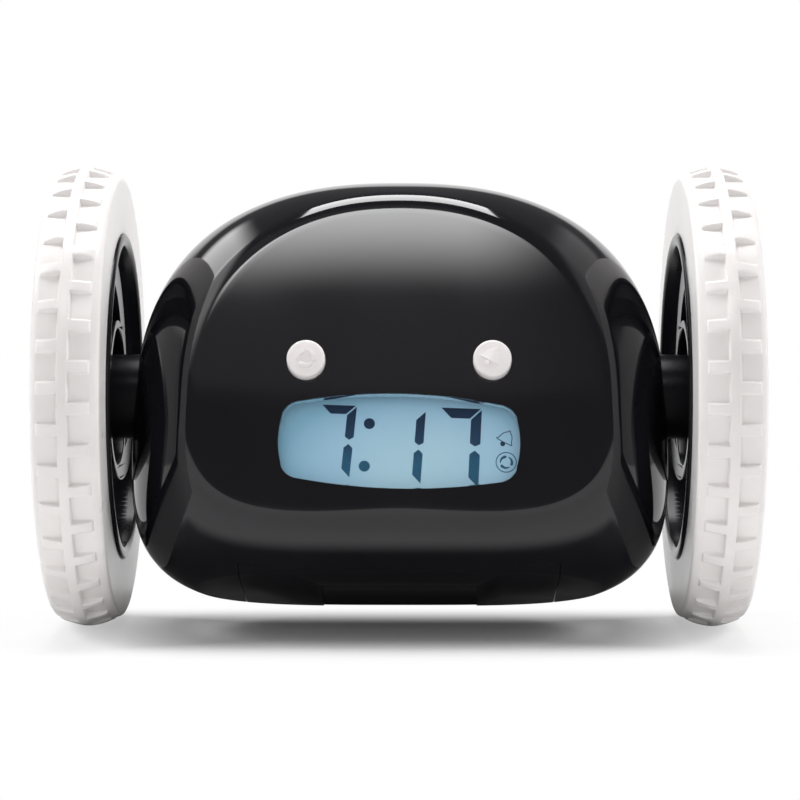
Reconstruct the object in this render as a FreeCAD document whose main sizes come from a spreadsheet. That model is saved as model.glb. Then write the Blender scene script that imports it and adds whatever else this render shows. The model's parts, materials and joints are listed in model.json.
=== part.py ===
import FreeCAD, Part
import math
import os
import re

import Sketcher

# A desk alarm clock that hangs between two large wheels and drives away when it rings.
# Millimetres, +Z up, +Y to the back, origin on the floor under the middle of the clock.
# Every piece is drawn in a frame whose origin is on the wheel axis. The pod's own pieces are drawn
# with the face upright and the base level; keep() then leans them back by pod_lean, which is how
# the pod hangs. Sizes written as text are sums of cells of the sheet, and bind the object to them.

Vector = FreeCAD.Vector
doc = FreeCAD.newDocument("runaway_alarm_clock")
sheet = doc.addObject("Spreadsheet::Sheet", "Sizes")

DRIVING_SIZES = {
    # wheels
    "wheel_radius": 44.5,
    "wheel_inner_face": 53.0,
    "wheel_outer_face": 66.5,
    "tyre_seat_radius": 31.6,
    "tyre_floor_radius": 43.0,
    "tyre_shoulder_radius": 42.4,
    "inner_shoulder": 2.2,
    "outer_shoulder": 0.9,
    "lug_length": 4.3,
    "lug_width": 2.3,
    "lug_count": 36,
    "rim_inset": 0.7,
    "hub_land_radius": 29.2,
    "hub_ring_radius": 14.9,
    "hub_cup_radius": 13.3,
    "hub_web": 3.2,
    "blade_recess": 1.2,
    "blade_depth": 6.0,
    "blade_width": 6.0,
    "blade_outer_arc": 30.0,
    "blade_count": 3,
    "hub_nose_radius": 5.6,
    "hub_nose_height": 2.6,
    # pod
    "pod_lean": 19.0,
    "pod_radius": 41.5,
    "pod_half_width": 51.7,
    "pod_widest_drop": 8.4,
    "pod_back": 35.0,
    "base_drop": 38.2,
    "wall": 2.0,
    "face_front": 28.2,
    "face_inside": 25.2,
    "face_dome_radius": 400.0,
    "face_edge_radius": 2.6,
    "seam_distance": 24.0,
    "seam_lean": 14.75,
    "fit_gap": 0.25,
    # face
    "window_half_width": 22.1,
    "window_half_height": 8.8,
    "window_height": -16.4,
    "window_corner": 3.6,
    "eye_distance": 17.2,
    "eye_height": -1.2,
    "eye_radius": 3.55,
    "eye_front": 30.1,
    # display and boards
    "lcd_half_width": 24.0,
    "lcd_front": -24.1,
    "lcd_back": -21.5,
    "lcd_bottom": -26.6,
    "lcd_top": -6.4,
    "board_front": -18.4,
    "board_thickness": 1.6,
    "board_half_width": 34.0,
    "board_bottom": -23.5,
    "board_top": 19.0,
    "switch_height": 2.0,
    "switch_size": 6.0,
    "press_gap": 0.9,
    # top and back
    "snooze_half_length": 17.0,
    "snooze_front": 2.0,
    "snooze_back": 12.0,
    "snooze_proud": 1.0,
    "snooze_board_top": 28.0,
    "speaker_height": 6.0,
    "speaker_radius": 13.0,
    "grille_hole_radius": 0.9,
    "grille_pitch": 3.2,
    "set_button_height": -14.0,
    "set_button_pitch": 9.0,
    "set_button_radius": 2.4,
    # base and battery bay
    "door_half_width": 29.9,
    "door_front": 16.0,
    "door_back": 27.0,
    "door_thickness": 1.7,
    "recess_half_width": 15.0,
    "recess_radius": 60.0,
    "recess_depth": 1.0,
    "cell_length": 43.7,
    "cell_radius": 5.25,
    "cell_shift": 1.1,
    "nub_length": 0.8,
    "tray_half_width": 25.6,
    # screws
    "screw_radius": 1.0,
    "screw_head_radius": 2.0,
    "screw_head_height": 1.4,
    "post_radius": 2.7,
    # drive train
    "gear_module": 0.5,
    "pinion_teeth": 10,
    "idler_large_teeth": 36,
    "idler_small_teeth": 12,
    "axle_gear_teeth": 36,
    "gear_thickness": 3.0,
    "axle_radius": 1.5,
    "idler_pin_radius": 1.0,
    "running_gap": 0.05,
    "idler_back": 9.53,
    "idler_height": -7.29,
    "motor_back": 17.6,
    "motor_height": 0.9,
    "motor_radius": 10.0,
    "motor_thickness": 15.1,
    "motor_start": 13.0,
    "motor_nose_radius": 3.0,
    "shaft_radius": 0.9,
    "gear_plate_start": 31.0,
    "gear_plate_thickness": 1.6,
    "large_gear_start": 33.6,
    "axle_gear_start": 38.0,
    "gear_frame_start": 42.0,
    "boss_radius": 8.2,
    "boss_end": 56.4,
    "bush_radius": 3.0,
    "bush_length": 6.0,
    "gear_post_radius": 2.0,
}

for row, (name, value) in enumerate(DRIVING_SIZES.items(), start=1):
    sheet.set(f"A{row}", name)
    sheet.set(f"B{row}", str(value))
    sheet.setAlias(f"B{row}", name)
doc.recompute()


# ---------------------------------------------------------------- helpers

WORD = re.compile(r"[a-z_][a-z_0-9]*")
kept = []


def size(name):
    """The value of one cell of the sheet."""
    return float(sheet.get(name))


def bound(text):
    """A sum of cell names as an expression that reads the sheet."""
    return WORD.sub(lambda word: f"Sizes.{word.group()}", text)


def measure(text):
    """The number that a sum of cell names gives."""
    numbers = WORD.sub(lambda word: f"({size(word.group())})", text)
    return float(FreeCAD.Units.Quantity(numbers).Value)


def held_shape(name, shape):
    """A document object for a shape made by Part's own functions."""
    feature = doc.addObject("Part::Feature", name)
    feature.Shape = shape
    return feature


def block(name, across, along, up):
    """A box between pairs of sums for its x, y and z."""
    box = doc.addObject("Part::Box", name)
    for side, axis, (low, high) in zip(("Length", "Width", "Height"), "xyz", (across, along, up)):
        box.setExpression(side, bound(f"({high}) - ({low})"))
        box.setExpression(f"Placement.Base.{axis}", bound(low))
    return box


def rod(name, axis, radius, start, end, first="0", second="0"):
    """A cylinder along an axis from start to end; first and second place it on the other two."""
    turns = {"x": (Vector(0, 1, 0), 90), "y": (Vector(1, 0, 0), -90), "z": (Vector(0, 0, 1), 0)}
    cylinder = doc.addObject("Part::Cylinder", name)
    cylinder.setExpression("Radius", bound(radius))
    cylinder.setExpression("Height", bound(f"({end}) - ({start})"))
    cylinder.Placement = FreeCAD.Placement(Vector(), FreeCAD.Rotation(*turns[axis]))
    others = [letter for letter in "xyz" if letter != axis]
    for letter, text in zip([axis] + others, (start, first, second)):
        cylinder.setExpression(f"Placement.Base.{letter}", bound(text))
    return cylinder


def fuse(name, shapes):
    """Objects joined into one."""
    result = doc.addObject("Part::MultiFuse", name)
    result.Shapes = shapes
    result.Refine = True
    return result


def group(name, shapes):
    """Separate solids that make one sub-part."""
    result = doc.addObject("Part::Compound", name)
    result.Links = shapes
    return result


def cut(name, base, tools):
    """One object less others."""
    result = doc.addObject("Part::Cut", name)
    result.Base = base
    result.Tool = tools[0] if len(tools) == 1 else group(f"{name}_tools", tools)
    result.Refine = True
    return result


def common(name, shapes):
    """What objects share."""
    result = doc.addObject("Part::MultiCommon", name)
    result.Shapes = shapes
    result.Refine = True
    return result


def body_plane(body, role):
    """One of a body's own origin planes or axes."""
    return next(f for f in body.Origin.OriginFeatures if f.Role == role)


def sketch_on(body, role, name, offset=None):
    """An empty sketch on one of the body's planes; offset holds sums that shift it."""
    sketch = body.newObject("Sketcher::SketchObject", f"{body.Name}_{name}")
    sketch.AttachmentSupport = [(body_plane(body, role), "")]
    sketch.MapMode = "FlatFace"
    for axis, text in (offset or {}).items():
        sketch.setExpression(f"AttachmentOffset.Base.{axis}", bound(text))
    return sketch


def draw_polygon(sketch, corners):
    """A closed outline of straight lines, each corner held by a pair of sums."""
    points = [Vector(measure(across), measure(up), 0) for across, up in corners]
    count = len(points)
    for i in range(count):
        sketch.addGeometry(Part.LineSegment(points[i], points[(i + 1) % count]), False)
    for i in range(count):
        sketch.addConstraint(Sketcher.Constraint("Coincident", i, 2, (i + 1) % count, 1))
    for i, corner in enumerate(corners):
        for kind, text in zip(("DistanceX", "DistanceY"), corner):
            number = sketch.addConstraint(Sketcher.Constraint(kind, -1, 1, i, 1, measure(text)))
            sketch.setExpression(f"Constraints[{number}]", bound(text))


def turned(name, corners, axis="x", offset=None):
    """A body turned on a lathe: corners are (distance along the axis, radius)."""
    body = doc.addObject("PartDesign::Body", name)
    sketch = sketch_on(body, "XY_Plane", "profile", offset)
    draw_polygon(sketch, corners if axis == "x" else [(radius, at) for at, radius in corners])
    feature = body.newObject("PartDesign::Revolution", f"{name}_turned")
    feature.Profile = sketch
    feature.ReferenceAxis = (sketch, ["H_Axis" if axis == "x" else "V_Axis"])
    feature.Angle = 360
    doc.recompute()
    return body


def repeat_round(body, features, count):
    """Repeat features of a body round the X axis."""
    pattern = body.newObject("PartDesign::PolarPattern", f"{body.Name}_pattern")
    pattern.Originals = features
    pattern.Axis = (body_plane(body, "X_Axis"), [""])
    pattern.Angle = 360
    pattern.setExpression("Occurrences", bound(count))
    body.Tip = pattern
    doc.recompute()


def screw(name, axis, seat, way, length, first, second):
    """A pan-head screw: its head rests on seat and its shank runs the other way."""
    head_end = f"{seat} + {way} * screw_head_height"
    tip = f"{seat} - {way} * {length}"
    head = (seat, head_end) if way > 0 else (head_end, seat)
    shank = (tip, seat) if way > 0 else (seat, tip)
    return fuse(name, [
        rod(f"{name}_head", axis, "screw_head_radius", *head, first, second),
        rod(f"{name}_shank", axis, "screw_radius", *shank, first, second),
    ])


def keep(model, label, in_pod=True):
    """Give a finished sub-part its label and its place on the wheel axis."""
    piece = group(f"{label}_piece", [model]) if hasattr(model, "AttacherEngine") else model
    lean = -size("pod_lean") if in_pod else 0.0
    turn = FreeCAD.Rotation(Vector(1, 0, 0), lean)
    piece.Placement = FreeCAD.Placement(Vector(0, 0, size("wheel_radius")), turn)
    piece.Label = label
    kept.append(piece)


def keep_pair(model, name, in_pod=True):
    """Keep a right-hand model twice: as it is, and mirrored for the left."""
    keep(group(f"right_{name}_group", [model]), f"right_{name}", in_pod)
    twin = doc.addObject("Part::Mirroring", f"left_{name}_mirror")
    twin.Source = model
    twin.Normal = Vector(1, 0, 0)
    keep(twin, f"left_{name}", in_pod)


# ---------------------------------------------------------------- the pod's form

OUTLINE_POINTS = 40
SECTION_COUNT = 9
TOP_SQUARENESS = 2.65
BASE_SQUARENESS = 3.9
END_ROUNDING = 0.6
ROUNDING_DEPTH = 27.5
BEYOND = 150.0


def pod_outline(depth, inset):
    """The pod's section at one depth: rounder above, squarer below, smaller towards the ends."""
    radius = size("pod_radius") - inset
    half_width = size("pod_half_width") - inset
    shrink = math.sqrt(1 - (depth / radius) ** 2)
    rounding = END_ROUNDING * min(1.0, (depth / ROUNDING_DEPTH) ** 2)
    drop = size("pod_widest_drop") * shrink
    points = []
    for i in range(OUTLINE_POINTS):
        angle = 2 * math.pi * i / OUTLINE_POINTS
        across = math.cos(angle)
        up = math.sin(angle)
        power = (TOP_SQUARENESS if up >= 0 else BASE_SQUARENESS) - rounding
        height = radius * shrink + (drop if up >= 0 else -drop)
        x = half_width * shrink * math.copysign(abs(across) ** (2 / power), across)
        z = height * math.copysign(abs(up) ** (2 / power), up) - drop
        points.append(Vector(x, depth, z))
    curve = Part.BSplineCurve()
    curve.interpolate(points, PeriodicFlag=True)
    return Part.Wire([curve.toShape()])


def pod_solid(inset, front, smooth):
    """The pod shrunk by inset, from its front to its flat back and down to its flat base."""
    back = size("pod_back") - inset
    step = (back + front) / (SECTION_COUNT - 1)
    sections = [pod_outline(-front + step * i, inset) for i in range(SECTION_COUNT)]
    solid = Part.makeLoft(sections, True, not smooth)
    floor = -size("base_drop") + inset
    below = Part.makeBox(2 * BEYOND, 2 * BEYOND, BEYOND, Vector(-BEYOND, -BEYOND, floor - BEYOND))
    return solid.cut(below)


def face_dome():
    """The large ball whose front is the slightly domed face."""
    radius = size("face_dome_radius")
    return Part.makeSphere(radius, Vector(0, radius - size("face_front"), 0), Vector(1, 0, 0))


def outer_pod(grow=0.0):
    """The pod's outside."""
    return pod_solid(-grow, size("face_front") + 0.6, True).common(face_dome())


def inner_pod(inset):
    """The room inside a skin of one thickness."""
    return pod_solid(inset, size("face_inside"), False)


def rounded_pod():
    """The pod's outside with the edge of its face rounded over."""
    solid = outer_pod()
    face = min(solid.Faces, key=lambda f: f.CenterOfMass.y)
    return solid.makeFillet(size("face_edge_radius"), face.Edges)


def behind_seam(shift=0.0):
    """All the space behind the seam between the two shells."""
    space = Part.makeBox(2 * BEYOND, BEYOND, 2 * BEYOND, Vector(-BEYOND, 0, -BEYOND))
    space.translate(Vector(0, size("seam_distance") + shift, 0))
    space.rotate(Vector(), Vector(1, 0, 0), size("seam_lean"))
    return space


# ---------------------------------------------------------------- casing

WINDOW_END_INSET = 1.4
WINDOW_CORNER_DROP = 2.1
SCREW_POSTS = (("22.0", "25.5", "21.5"), ("29.0", "-17.5", "31.1"))
BOARD_POSTS = (("31.0", "-12.0"), ("31.0", "15.0"))
SNOOZE_POSTS = ("-1.2", "14.4")
FRONT_END = "-60"
BACK_END = "60"


def window_prism(grow, start, end):
    """A barrel shape: arched above and below, bowed at the ends, with round corners."""
    half = size("window_half_width") + grow
    tall = size("window_half_height") + grow
    corner_x = half - WINDOW_END_INSET
    corner_z = tall - WINDOW_CORNER_DROP
    middle = size("window_height")
    places = [(-corner_x, corner_z), (0, tall), (corner_x, corner_z), (half, 0),
              (corner_x, -corner_z), (0, -tall), (-corner_x, -corner_z), (-half, 0),
              (-corner_x, corner_z)]
    points = [Vector(x, start, middle + z) for x, z in places]
    arcs = [Part.Arc(*points[i:i + 3]).toShape() for i in (0, 2, 4, 6)]
    prism = Part.Face(Part.Wire(arcs)).extrude(Vector(0, end - start, 0))
    corners = [edge for edge in prism.Edges if len(edge.Vertexes) == 2
               and abs(edge.Vertexes[0].Y - edge.Vertexes[1].Y) > 0.5 * (end - start)]
    return prism.makeFillet(size("window_corner") + grow, corners)


def door_block(name, grow):
    """The block that outlines the battery door."""
    return block(name, (f"-door_half_width - {grow}", f"door_half_width + {grow}"),
                 (f"-door_front - {grow}", f"door_back + {grow}"), ("-60", "-26"))


def snooze_block(name, grow):
    """A block with round ends over the top of the pod, the plan of the snooze button."""
    middle = "(snooze_front + snooze_back) / 2"
    radius = "(snooze_back - snooze_front) / 2"
    reach = f"snooze_half_length - {radius}"
    pieces = [block(f"{name}_middle", (f"-({reach})", reach),
                    (f"snooze_front - {grow}", f"snooze_back + {grow}"), ("30", "60"))]
    for side, end in (("left", f"-({reach})"), ("right", reach)):
        pieces.append(rod(f"{name}_{side}", "z", f"{radius} + {grow}", "30", "60", end, middle))
    return fuse(name, pieces)


def both_sides(places):
    """Each (x, rest...) and its mirror image, with a number for names."""
    mirrored = [(f"-{place[0]}",) + tuple(place[1:]) for place in places]
    return enumerate(list(places) + mirrored)


def grille_holes():
    """One hole in the middle and rings of 6, 12 and 18 round it."""
    holes = [rod("grille_hole", "y", "grille_hole_radius", "30", BACK_END, "0", "speaker_height")]
    for ring in (1, 2, 3):
        count = 6 * ring
        for i in range(count):
            angle = 2 * math.pi * i / count
            across = f"{ring * math.cos(angle):.5f} * grille_pitch"
            up = f"speaker_height + {ring * math.sin(angle):.5f} * grille_pitch"
            holes.append(rod(f"grille_hole_{ring}_{i}", "y", "grille_hole_radius", "30", BACK_END,
                             across, up))
    return holes


def set_button_places():
    """The x of each setting button, from the clock's left to its right."""
    return [f"{i - 1.5} * set_button_pitch" for i in range(4)]


def make_front_shell(hollow):
    """The front and middle of the casing, with its openings and its screw posts."""
    room = outer_pod().cut(behind_seam())
    posts = []
    holes = [
        held_shape("window_opening", window_prism(size("fit_gap"), -60, -20)),
        door_block("door_opening", "fit_gap"),
        snooze_block("snooze_opening", "fit_gap"),
        rod("boss_openings", "x", "boss_radius + fit_gap", "-60", "60"),
    ]
    for i, (x, z, seat) in both_sides(SCREW_POSTS):
        posts.append(rod(f"screw_post_{i}", "y", "post_radius", "-face_inside - 0.5", seat, x, z))
        holes.append(rod(f"screw_pilot_{i}", "y", "screw_radius", "-face_inside + 30", BACK_END,
                         x, z))
    for i, (x, z) in both_sides(BOARD_POSTS):
        posts.append(rod(f"board_post_{i}", "y", "2.2", "-face_inside - 0.5", "board_front", x, z))
        holes.append(rod(f"board_pilot_{i}", "y", "screw_radius", "board_front - 3", BACK_END,
                         x, z))
    for i, y in enumerate(SNOOZE_POSTS):
        for side in ("-6", "6"):
            posts.append(rod(f"snooze_post_{i}_{side}", "z", "1.4", "snooze_board_top", "45",
                             side, y))
    for side in ("-", ""):
        holes.append(rod(f"eye_opening_{side}", "y", "eye_radius + fit_gap", FRONT_END, "-20",
                         f"{side}eye_distance", "eye_height"))
    inside = common("posts_inside", [group("front_posts", posts),
                                     held_shape("front_room", room)])
    solid = fuse("front_body", [held_shape("front_skin", hollow.cut(behind_seam())), inside])
    keep(cut("front_shell_model", solid, holes), "front_shell")


def make_rear_shell(hollow):
    """The back of the casing, with the grille, the screw wells and the speaker's ring."""
    room = outer_pod().common(behind_seam())
    ring = cut("speaker_ring", rod("speaker_ring_outside", "y", "speaker_radius + 1.6", "30", "34",
                                   "0", "speaker_height"),
               [rod("speaker_ring_inside", "y", "speaker_radius + fit_gap", "29", "35",
                    "0", "speaker_height")])
    supports = [ring]
    holes = grille_holes()
    for i, (x, z, seat) in both_sides(SCREW_POSTS):
        supports.append(rod(f"well_wall_{i}", "y", "screw_head_radius + 1.4", "0", "34", x, z))
        holes.append(rod(f"well_{i}", "y", "screw_head_radius + 0.3", seat, BACK_END, x, z))
        holes.append(rod(f"well_hole_{i}", "y", "screw_radius", "0", BACK_END, x, z))
    for side in ("-18.4", "18.4"):
        supports.append(rod(f"set_board_post_{side}", "y", "1.3", "pod_back - 5.8", "34",
                            side, "set_button_height"))
    for i, x in enumerate(set_button_places()):
        holes.append(rod(f"set_opening_{i}", "y", "set_button_radius + fit_gap", "30", BACK_END,
                         x, "set_button_height"))
    inside = common("supports_inside", [group("rear_supports", supports),
                                        held_shape("rear_room", room)])
    solid = fuse("rear_body", [held_shape("rear_skin", hollow.common(behind_seam())), inside])
    keep(cut("rear_shell_model", solid, holes), "rear_shell")


def make_casing_screws():
    """The four screws that join the shells from behind."""
    screws = [screw(f"casing_screw_{i}", "y", seat, 1, "9", x, z)
              for i, (x, z, seat) in both_sides(SCREW_POSTS)]
    keep(group("casing_screws_model", screws), "casing_screws")


def make_battery_door():
    """The door: a piece of the casing's own skin with a finger recess."""
    skin = outer_pod().cut(inner_pod(size("door_thickness")))
    skin = held_shape("door_skin", skin.cut(behind_seam(-size("fit_gap"))))
    recess = rod("door_recess", "x", "recess_radius", "-recess_half_width", "recess_half_width",
                 "8", "-base_drop - recess_radius + recess_depth")
    outline = common("door_outline", [skin, door_block("door_plan", "0")])
    keep(cut("battery_door_model", outline, [recess]), "battery_door")


def make_window():
    """The clear window: flush with the face, with a flange behind the wall."""
    front = size("face_front")
    inside = size("face_inside")
    plate = window_prism(0.0, -front - 1, -inside + 0.1).common(face_dome())
    flange = window_prism(1.4, -inside + 0.05, -inside + 0.9)
    keep(held_shape("display_window_model", plate.fuse(flange).removeSplitter()), "display_window")


def make_snooze():
    """The snooze button, which follows the pod's curve, and the switch under it."""
    skin = held_shape("snooze_skin", outer_pod(size("snooze_proud")).cut(inner_pod(1.8)))
    cap = common("snooze_cap", [skin, snooze_block("snooze_plan", "0")])
    middle = "(snooze_front + snooze_back) / 2"
    knob_top = "snooze_board_top + 3.7"
    stem = rod("snooze_stem", "z", "2", f"{knob_top} + press_gap", "40", "0", middle)
    keep(fuse("snooze_button_model", [cap, stem]), "snooze_button")
    board = block("snooze_board", ("-8", "8"), ("-3.5", "16"),
                  ("snooze_board_top - board_thickness", "snooze_board_top"))
    case = block("snooze_case", ("-3", "3"), (f"{middle} - 3", f"{middle} + 3"),
                 ("snooze_board_top", "snooze_board_top + 3"))
    knob = rod("snooze_knob", "z", "1.6", "snooze_board_top + 2", knob_top, "0", middle)
    keep(fuse("snooze_switch_model", [board, case, knob]), "snooze_switch")


# ---------------------------------------------------------------- face and boards

def make_eye(label, side):
    """A mode button: a round cap, a flange behind the wall and a stem to its switch."""
    front = "-eye_front"
    flange = "-face_inside + fit_gap"
    stem_end = "board_front - switch_height - press_gap"
    body = turned(f"{label}_model", [
        (front, "0"),
        (front, "eye_radius - 0.4"),
        (f"{front} + 0.4", "eye_radius"),
        (flange, "eye_radius"),
        (flange, "eye_radius + 1.2"),
        (f"{flange} + 1", "eye_radius + 1.2"),
        (f"{flange} + 1", "1.2"),
        (stem_end, "1.2"),
        (stem_end, "0"),
    ], "y", {"x": f"{side}eye_distance", "z": "eye_height"})
    keep(body, label)


def make_display():
    """The display, its light guide and the main board with the mode switches."""
    back = "board_front + board_thickness"
    keep(block("lcd_model", ("-lcd_half_width", "lcd_half_width"), ("lcd_front", "lcd_back"),
               ("lcd_bottom", "lcd_top")), "lcd_panel")
    keep(block("backlight_model", ("-lcd_half_width + 0.5", "lcd_half_width - 0.5"),
               ("lcd_back + 0.1", "board_front - 0.1"), ("lcd_bottom + 2", "lcd_top - 1")),
         "backlight_panel")
    plate = block("board_plate", ("-board_half_width", "board_half_width"),
                  ("board_front", back), ("board_bottom", "board_top"))
    holes = [rod(f"board_hole_{i}", "y", "screw_radius", "-40", "40", x, z)
             for i, (x, z) in both_sides(BOARD_POSTS)]
    x, z, seat = SCREW_POSTS[1]
    for side in ("-", ""):
        holes.append(rod(f"post_hole_{side}", "y", "post_radius + 0.3", "-40", "40",
                         f"{side}{x}", z))
    keep(cut("main_board_model", plate, holes), "main_board")
    screws = [screw(f"board_screw_{i}", "y", back, 1, "4", x, z)
              for i, (x, z) in both_sides(BOARD_POSTS)]
    keep(group("board_screws_model", screws), "board_screws")
    keep(group("mode_switches_model", [mode_switch("-"), mode_switch("")]), "mode_switches")


def mode_switch(side):
    """The tact switch behind one eye."""
    middle = f"{side}eye_distance"
    front = "board_front - switch_height"
    case = block(f"mode_case_{side}", (f"{middle} - switch_size / 2", f"{middle} + switch_size / 2"),
                 (front, "board_front"),
                 ("eye_height - switch_size / 2", "eye_height + switch_size / 2"))
    knob = rod(f"mode_knob_{side}", "y", "1", f"{front} - 0.1", f"{front} + 0.1", middle,
               "eye_height")
    return fuse(f"mode_switch_{side}", [case, knob])


def make_set_buttons():
    """The four setting buttons on the back, and the board and switches behind them."""
    names = ("minute_button", "hour_button", "alarm_set_button", "clock_set_button")
    flange = "pod_back - 3.4"
    tip = "pod_back + 1"
    board = "pod_back - 7"
    cases = []
    for name, x in zip(names, set_button_places()):
        keep(turned(f"{name}_model", [
            (flange, "0"),
            (flange, "set_button_radius + 0.8"),
            (f"{flange} + 1", "set_button_radius + 0.8"),
            (f"{flange} + 1", "set_button_radius"),
            (f"{tip} - 0.4", "set_button_radius"),
            (tip, "set_button_radius - 0.4"),
            (tip, "0"),
        ], "y", {"x": x, "z": "set_button_height"}), name)
        cases.append(block(f"{name}_case", (f"{x} - 2.5", f"{x} + 2.5"),
                           (f"{board} + 1.2", f"{board} + 2.8"),
                           ("set_button_height - 2.5", "set_button_height + 2.5")))
    keep(group("set_switches_model", cases), "set_switches")
    keep(block("set_board_model", ("-20", "20"), (board, f"{board} + 1.2"),
               ("set_button_height - 4", "set_button_height + 4")), "set_board")


def make_speaker():
    """The speaker behind the grille: its frame, dished cone and magnet."""
    back = "pod_back - wall - 0.2"
    speaker = turned("speaker_model", [
        (f"{back} - 4.6", "0"),
        (f"{back} - 4.6", "6"),
        (f"{back} - 2.4", "6"),
        (f"{back} - 2.4", "speaker_radius"),
        (back, "speaker_radius"),
        (back, "speaker_radius - 1.4"),
        (f"{back} - 1.9", "3.5"),
        (f"{back} - 1.1", "0"),
    ], "y", {"z": "speaker_height"})
    keep(speaker, "speaker")


# ---------------------------------------------------------------- battery bay

CELL_PLACES = (("-10.4", "-30.6"), ("0.35", "-30.9"), ("11.1", "-30.6"), ("20.7", "-26.0"))


def make_batteries():
    """Four cells side by side, turned end for end, with their springs and plates."""
    cells = []
    springs = []
    plates = []
    for i, (y, z) in enumerate(CELL_PLACES):
        way = 1 if i % 2 == 0 else -1

        def stretch(low, high):
            """Two distances along the cell, swapped and negated when it lies the other way."""
            ends = (low, high) if way > 0 else (f"-({high})", f"-({low})")
            return ends + (y, z)

        start = "cell_shift - cell_length / 2"
        end = "cell_shift + cell_length / 2"
        nub = f"{end} + nub_length"
        cells.append(fuse(f"cell_{i}", [
            rod(f"can_{i}", "x", "cell_radius", *stretch(start, end)),
            rod(f"nub_{i}", "x", "1.9", *stretch(end, nub)),
        ]))
        springs.append(rod(f"spring_{i}", "x", "2.6", *stretch(f"{start} - 1.9", f"{start} - 0.1")))
        plates.append(rod(f"plate_{i}", "x", "3.4", *stretch(f"{nub} + 0.1", f"{nub} + 0.5")))
    keep(group("batteries_model", cells), "batteries")
    keep(group("battery_springs_model", springs), "battery_springs")
    keep(group("battery_plates_model", plates), "battery_plates")


def make_battery_tray():
    """The saddle over the cells, hollowed to their shape, with an end wall for the contacts."""
    across = ("-tray_half_width", "tray_half_width")
    saddle = fuse("saddle", [
        block("saddle_front", across, ("-16.6", "14.8"), ("-31", "-22.4")),
        block("saddle_back", across, ("14.3", "26.3"), ("-31", "-19.4")),
    ])
    room = held_shape("tray_room", inner_pod(size("wall") + 0.1))
    inside = ("-tray_half_width + 1", "tray_half_width - 1")
    rooms = []
    for i, (y, z) in enumerate(CELL_PLACES):
        gap = "cell_radius + 0.3"
        rooms.append(fuse(f"cell_room_{i}", [
            rod(f"cell_round_{i}", "x", gap, *inside, y, z),
            block(f"cell_way_{i}", inside, (f"{y} - ({gap})", f"{y} + {gap}"), ("-50", z)),
        ]))
    model = cut("battery_tray_model", common("tray_body", [saddle, room]), rooms)
    keep(model, "battery_tray")


# ---------------------------------------------------------------- wheels

def make_tyre():
    """The tyre: a moulded ring with a centre rib and two staggered rows of lugs."""
    row_start = "wheel_inner_face + inner_shoulder"
    rib_start = f"{row_start} + lug_length"
    rib_end = "wheel_outer_face - outer_shoulder - lug_length"
    body = turned("tyre_model", [
        ("wheel_inner_face + rim_inset", "tyre_seat_radius"),
        ("wheel_outer_face - rim_inset", "tyre_seat_radius"),
        ("wheel_outer_face", "tyre_seat_radius + 0.7"),
        ("wheel_outer_face", "tyre_shoulder_radius - 0.9"),
        ("wheel_outer_face - 0.3", "tyre_shoulder_radius"),
        ("wheel_outer_face - 0.9", "tyre_floor_radius"),
        (rib_end, "tyre_floor_radius"),
        (rib_end, "wheel_radius"),
        (rib_start, "wheel_radius"),
        (rib_start, "tyre_floor_radius"),
        ("wheel_inner_face + 1.4", "tyre_floor_radius"),
        ("wheel_inner_face + 0.5", "tyre_shoulder_radius"),
        ("wheel_inner_face", "tyre_shoulder_radius - 0.9"),
        ("wheel_inner_face", "tyre_seat_radius + 0.7"),
    ])
    rows = []
    half_pitch = 180 / size("lug_count")
    for number, (start, turn) in enumerate(((row_start, 0.0), (rib_end, half_pitch))):
        sketch = sketch_on(body, "XY_Plane", f"lug_{number}")
        tilt = FreeCAD.Rotation(Vector(1, 0, 0), turn)
        foot = tilt.multVec(Vector(0, 0, size("tyre_floor_radius") - 0.5))
        sketch.AttachmentOffset = FreeCAD.Placement(foot, tilt)
        end = f"{start} + lug_length"
        draw_polygon(sketch, [(start, "-lug_width / 2"), (end, "-lug_width / 2"),
                              (end, "lug_width / 2"), (start, "lug_width / 2")])
        lug = body.newObject("PartDesign::Pad", f"lug_pad_{number}")
        lug.Profile = sketch
        lug.setExpression("Length", bound("wheel_radius - tyre_floor_radius + 0.5"))
        rows.append(lug)
    doc.recompute()
    repeat_round(body, rows, "lug_count")
    keep_pair(body, "tyre", in_pod=False)


def polar(radius, degrees):
    """A point of a hub sketch."""
    angle = math.radians(degrees)
    return Vector(radius * math.cos(angle), radius * math.sin(angle), 0)


def meeting(arc_radius, reach, circle_radius):
    """Where an arc round a blade's centre, reach before the hub's, crosses a circle round the hub."""
    turn = math.acos((arc_radius ** 2 + reach ** 2 - circle_radius ** 2) / (2 * reach * arc_radius))
    return math.degrees(turn)


def draw_blade_opening(sketch):
    """The opening between two swept blades: along one, out to the rim, and back along the next."""
    ring = size("hub_ring_radius")
    rim = size("hub_land_radius")
    outer = size("blade_outer_arc")
    inner = outer - size("blade_width")
    reach = outer - ring
    centre = Vector(-reach, 0, 0)
    step = FreeCAD.Rotation(Vector(0, 0, 1), 360 / size("blade_count"))

    near_ring = meeting(inner, reach, ring)
    near_rim = meeting(inner, reach, rim)
    far_rim = meeting(outer, reach, rim)
    ring_point = centre + polar(inner, near_ring)
    rim_point = centre + polar(inner, near_rim)
    next_rim_point = step.multVec(centre + polar(outer, far_rim))
    next_ring_point = step.multVec(polar(ring, 0))
    arcs = (
        (ring_point, centre + polar(inner, (near_ring + near_rim) / 2), rim_point),
        (rim_point, (rim_point + next_rim_point).normalize() * rim, next_rim_point),
        (next_rim_point, step.multVec(centre + polar(outer, far_rim / 2)), next_ring_point),
        (next_ring_point, (next_ring_point + ring_point).normalize() * ring, ring_point),
    )
    for i, points in enumerate(arcs):
        sketch.addGeometry(Part.Arc(*points), False)
        sketch.addConstraint(Sketcher.Constraint("Block", i))


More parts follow.
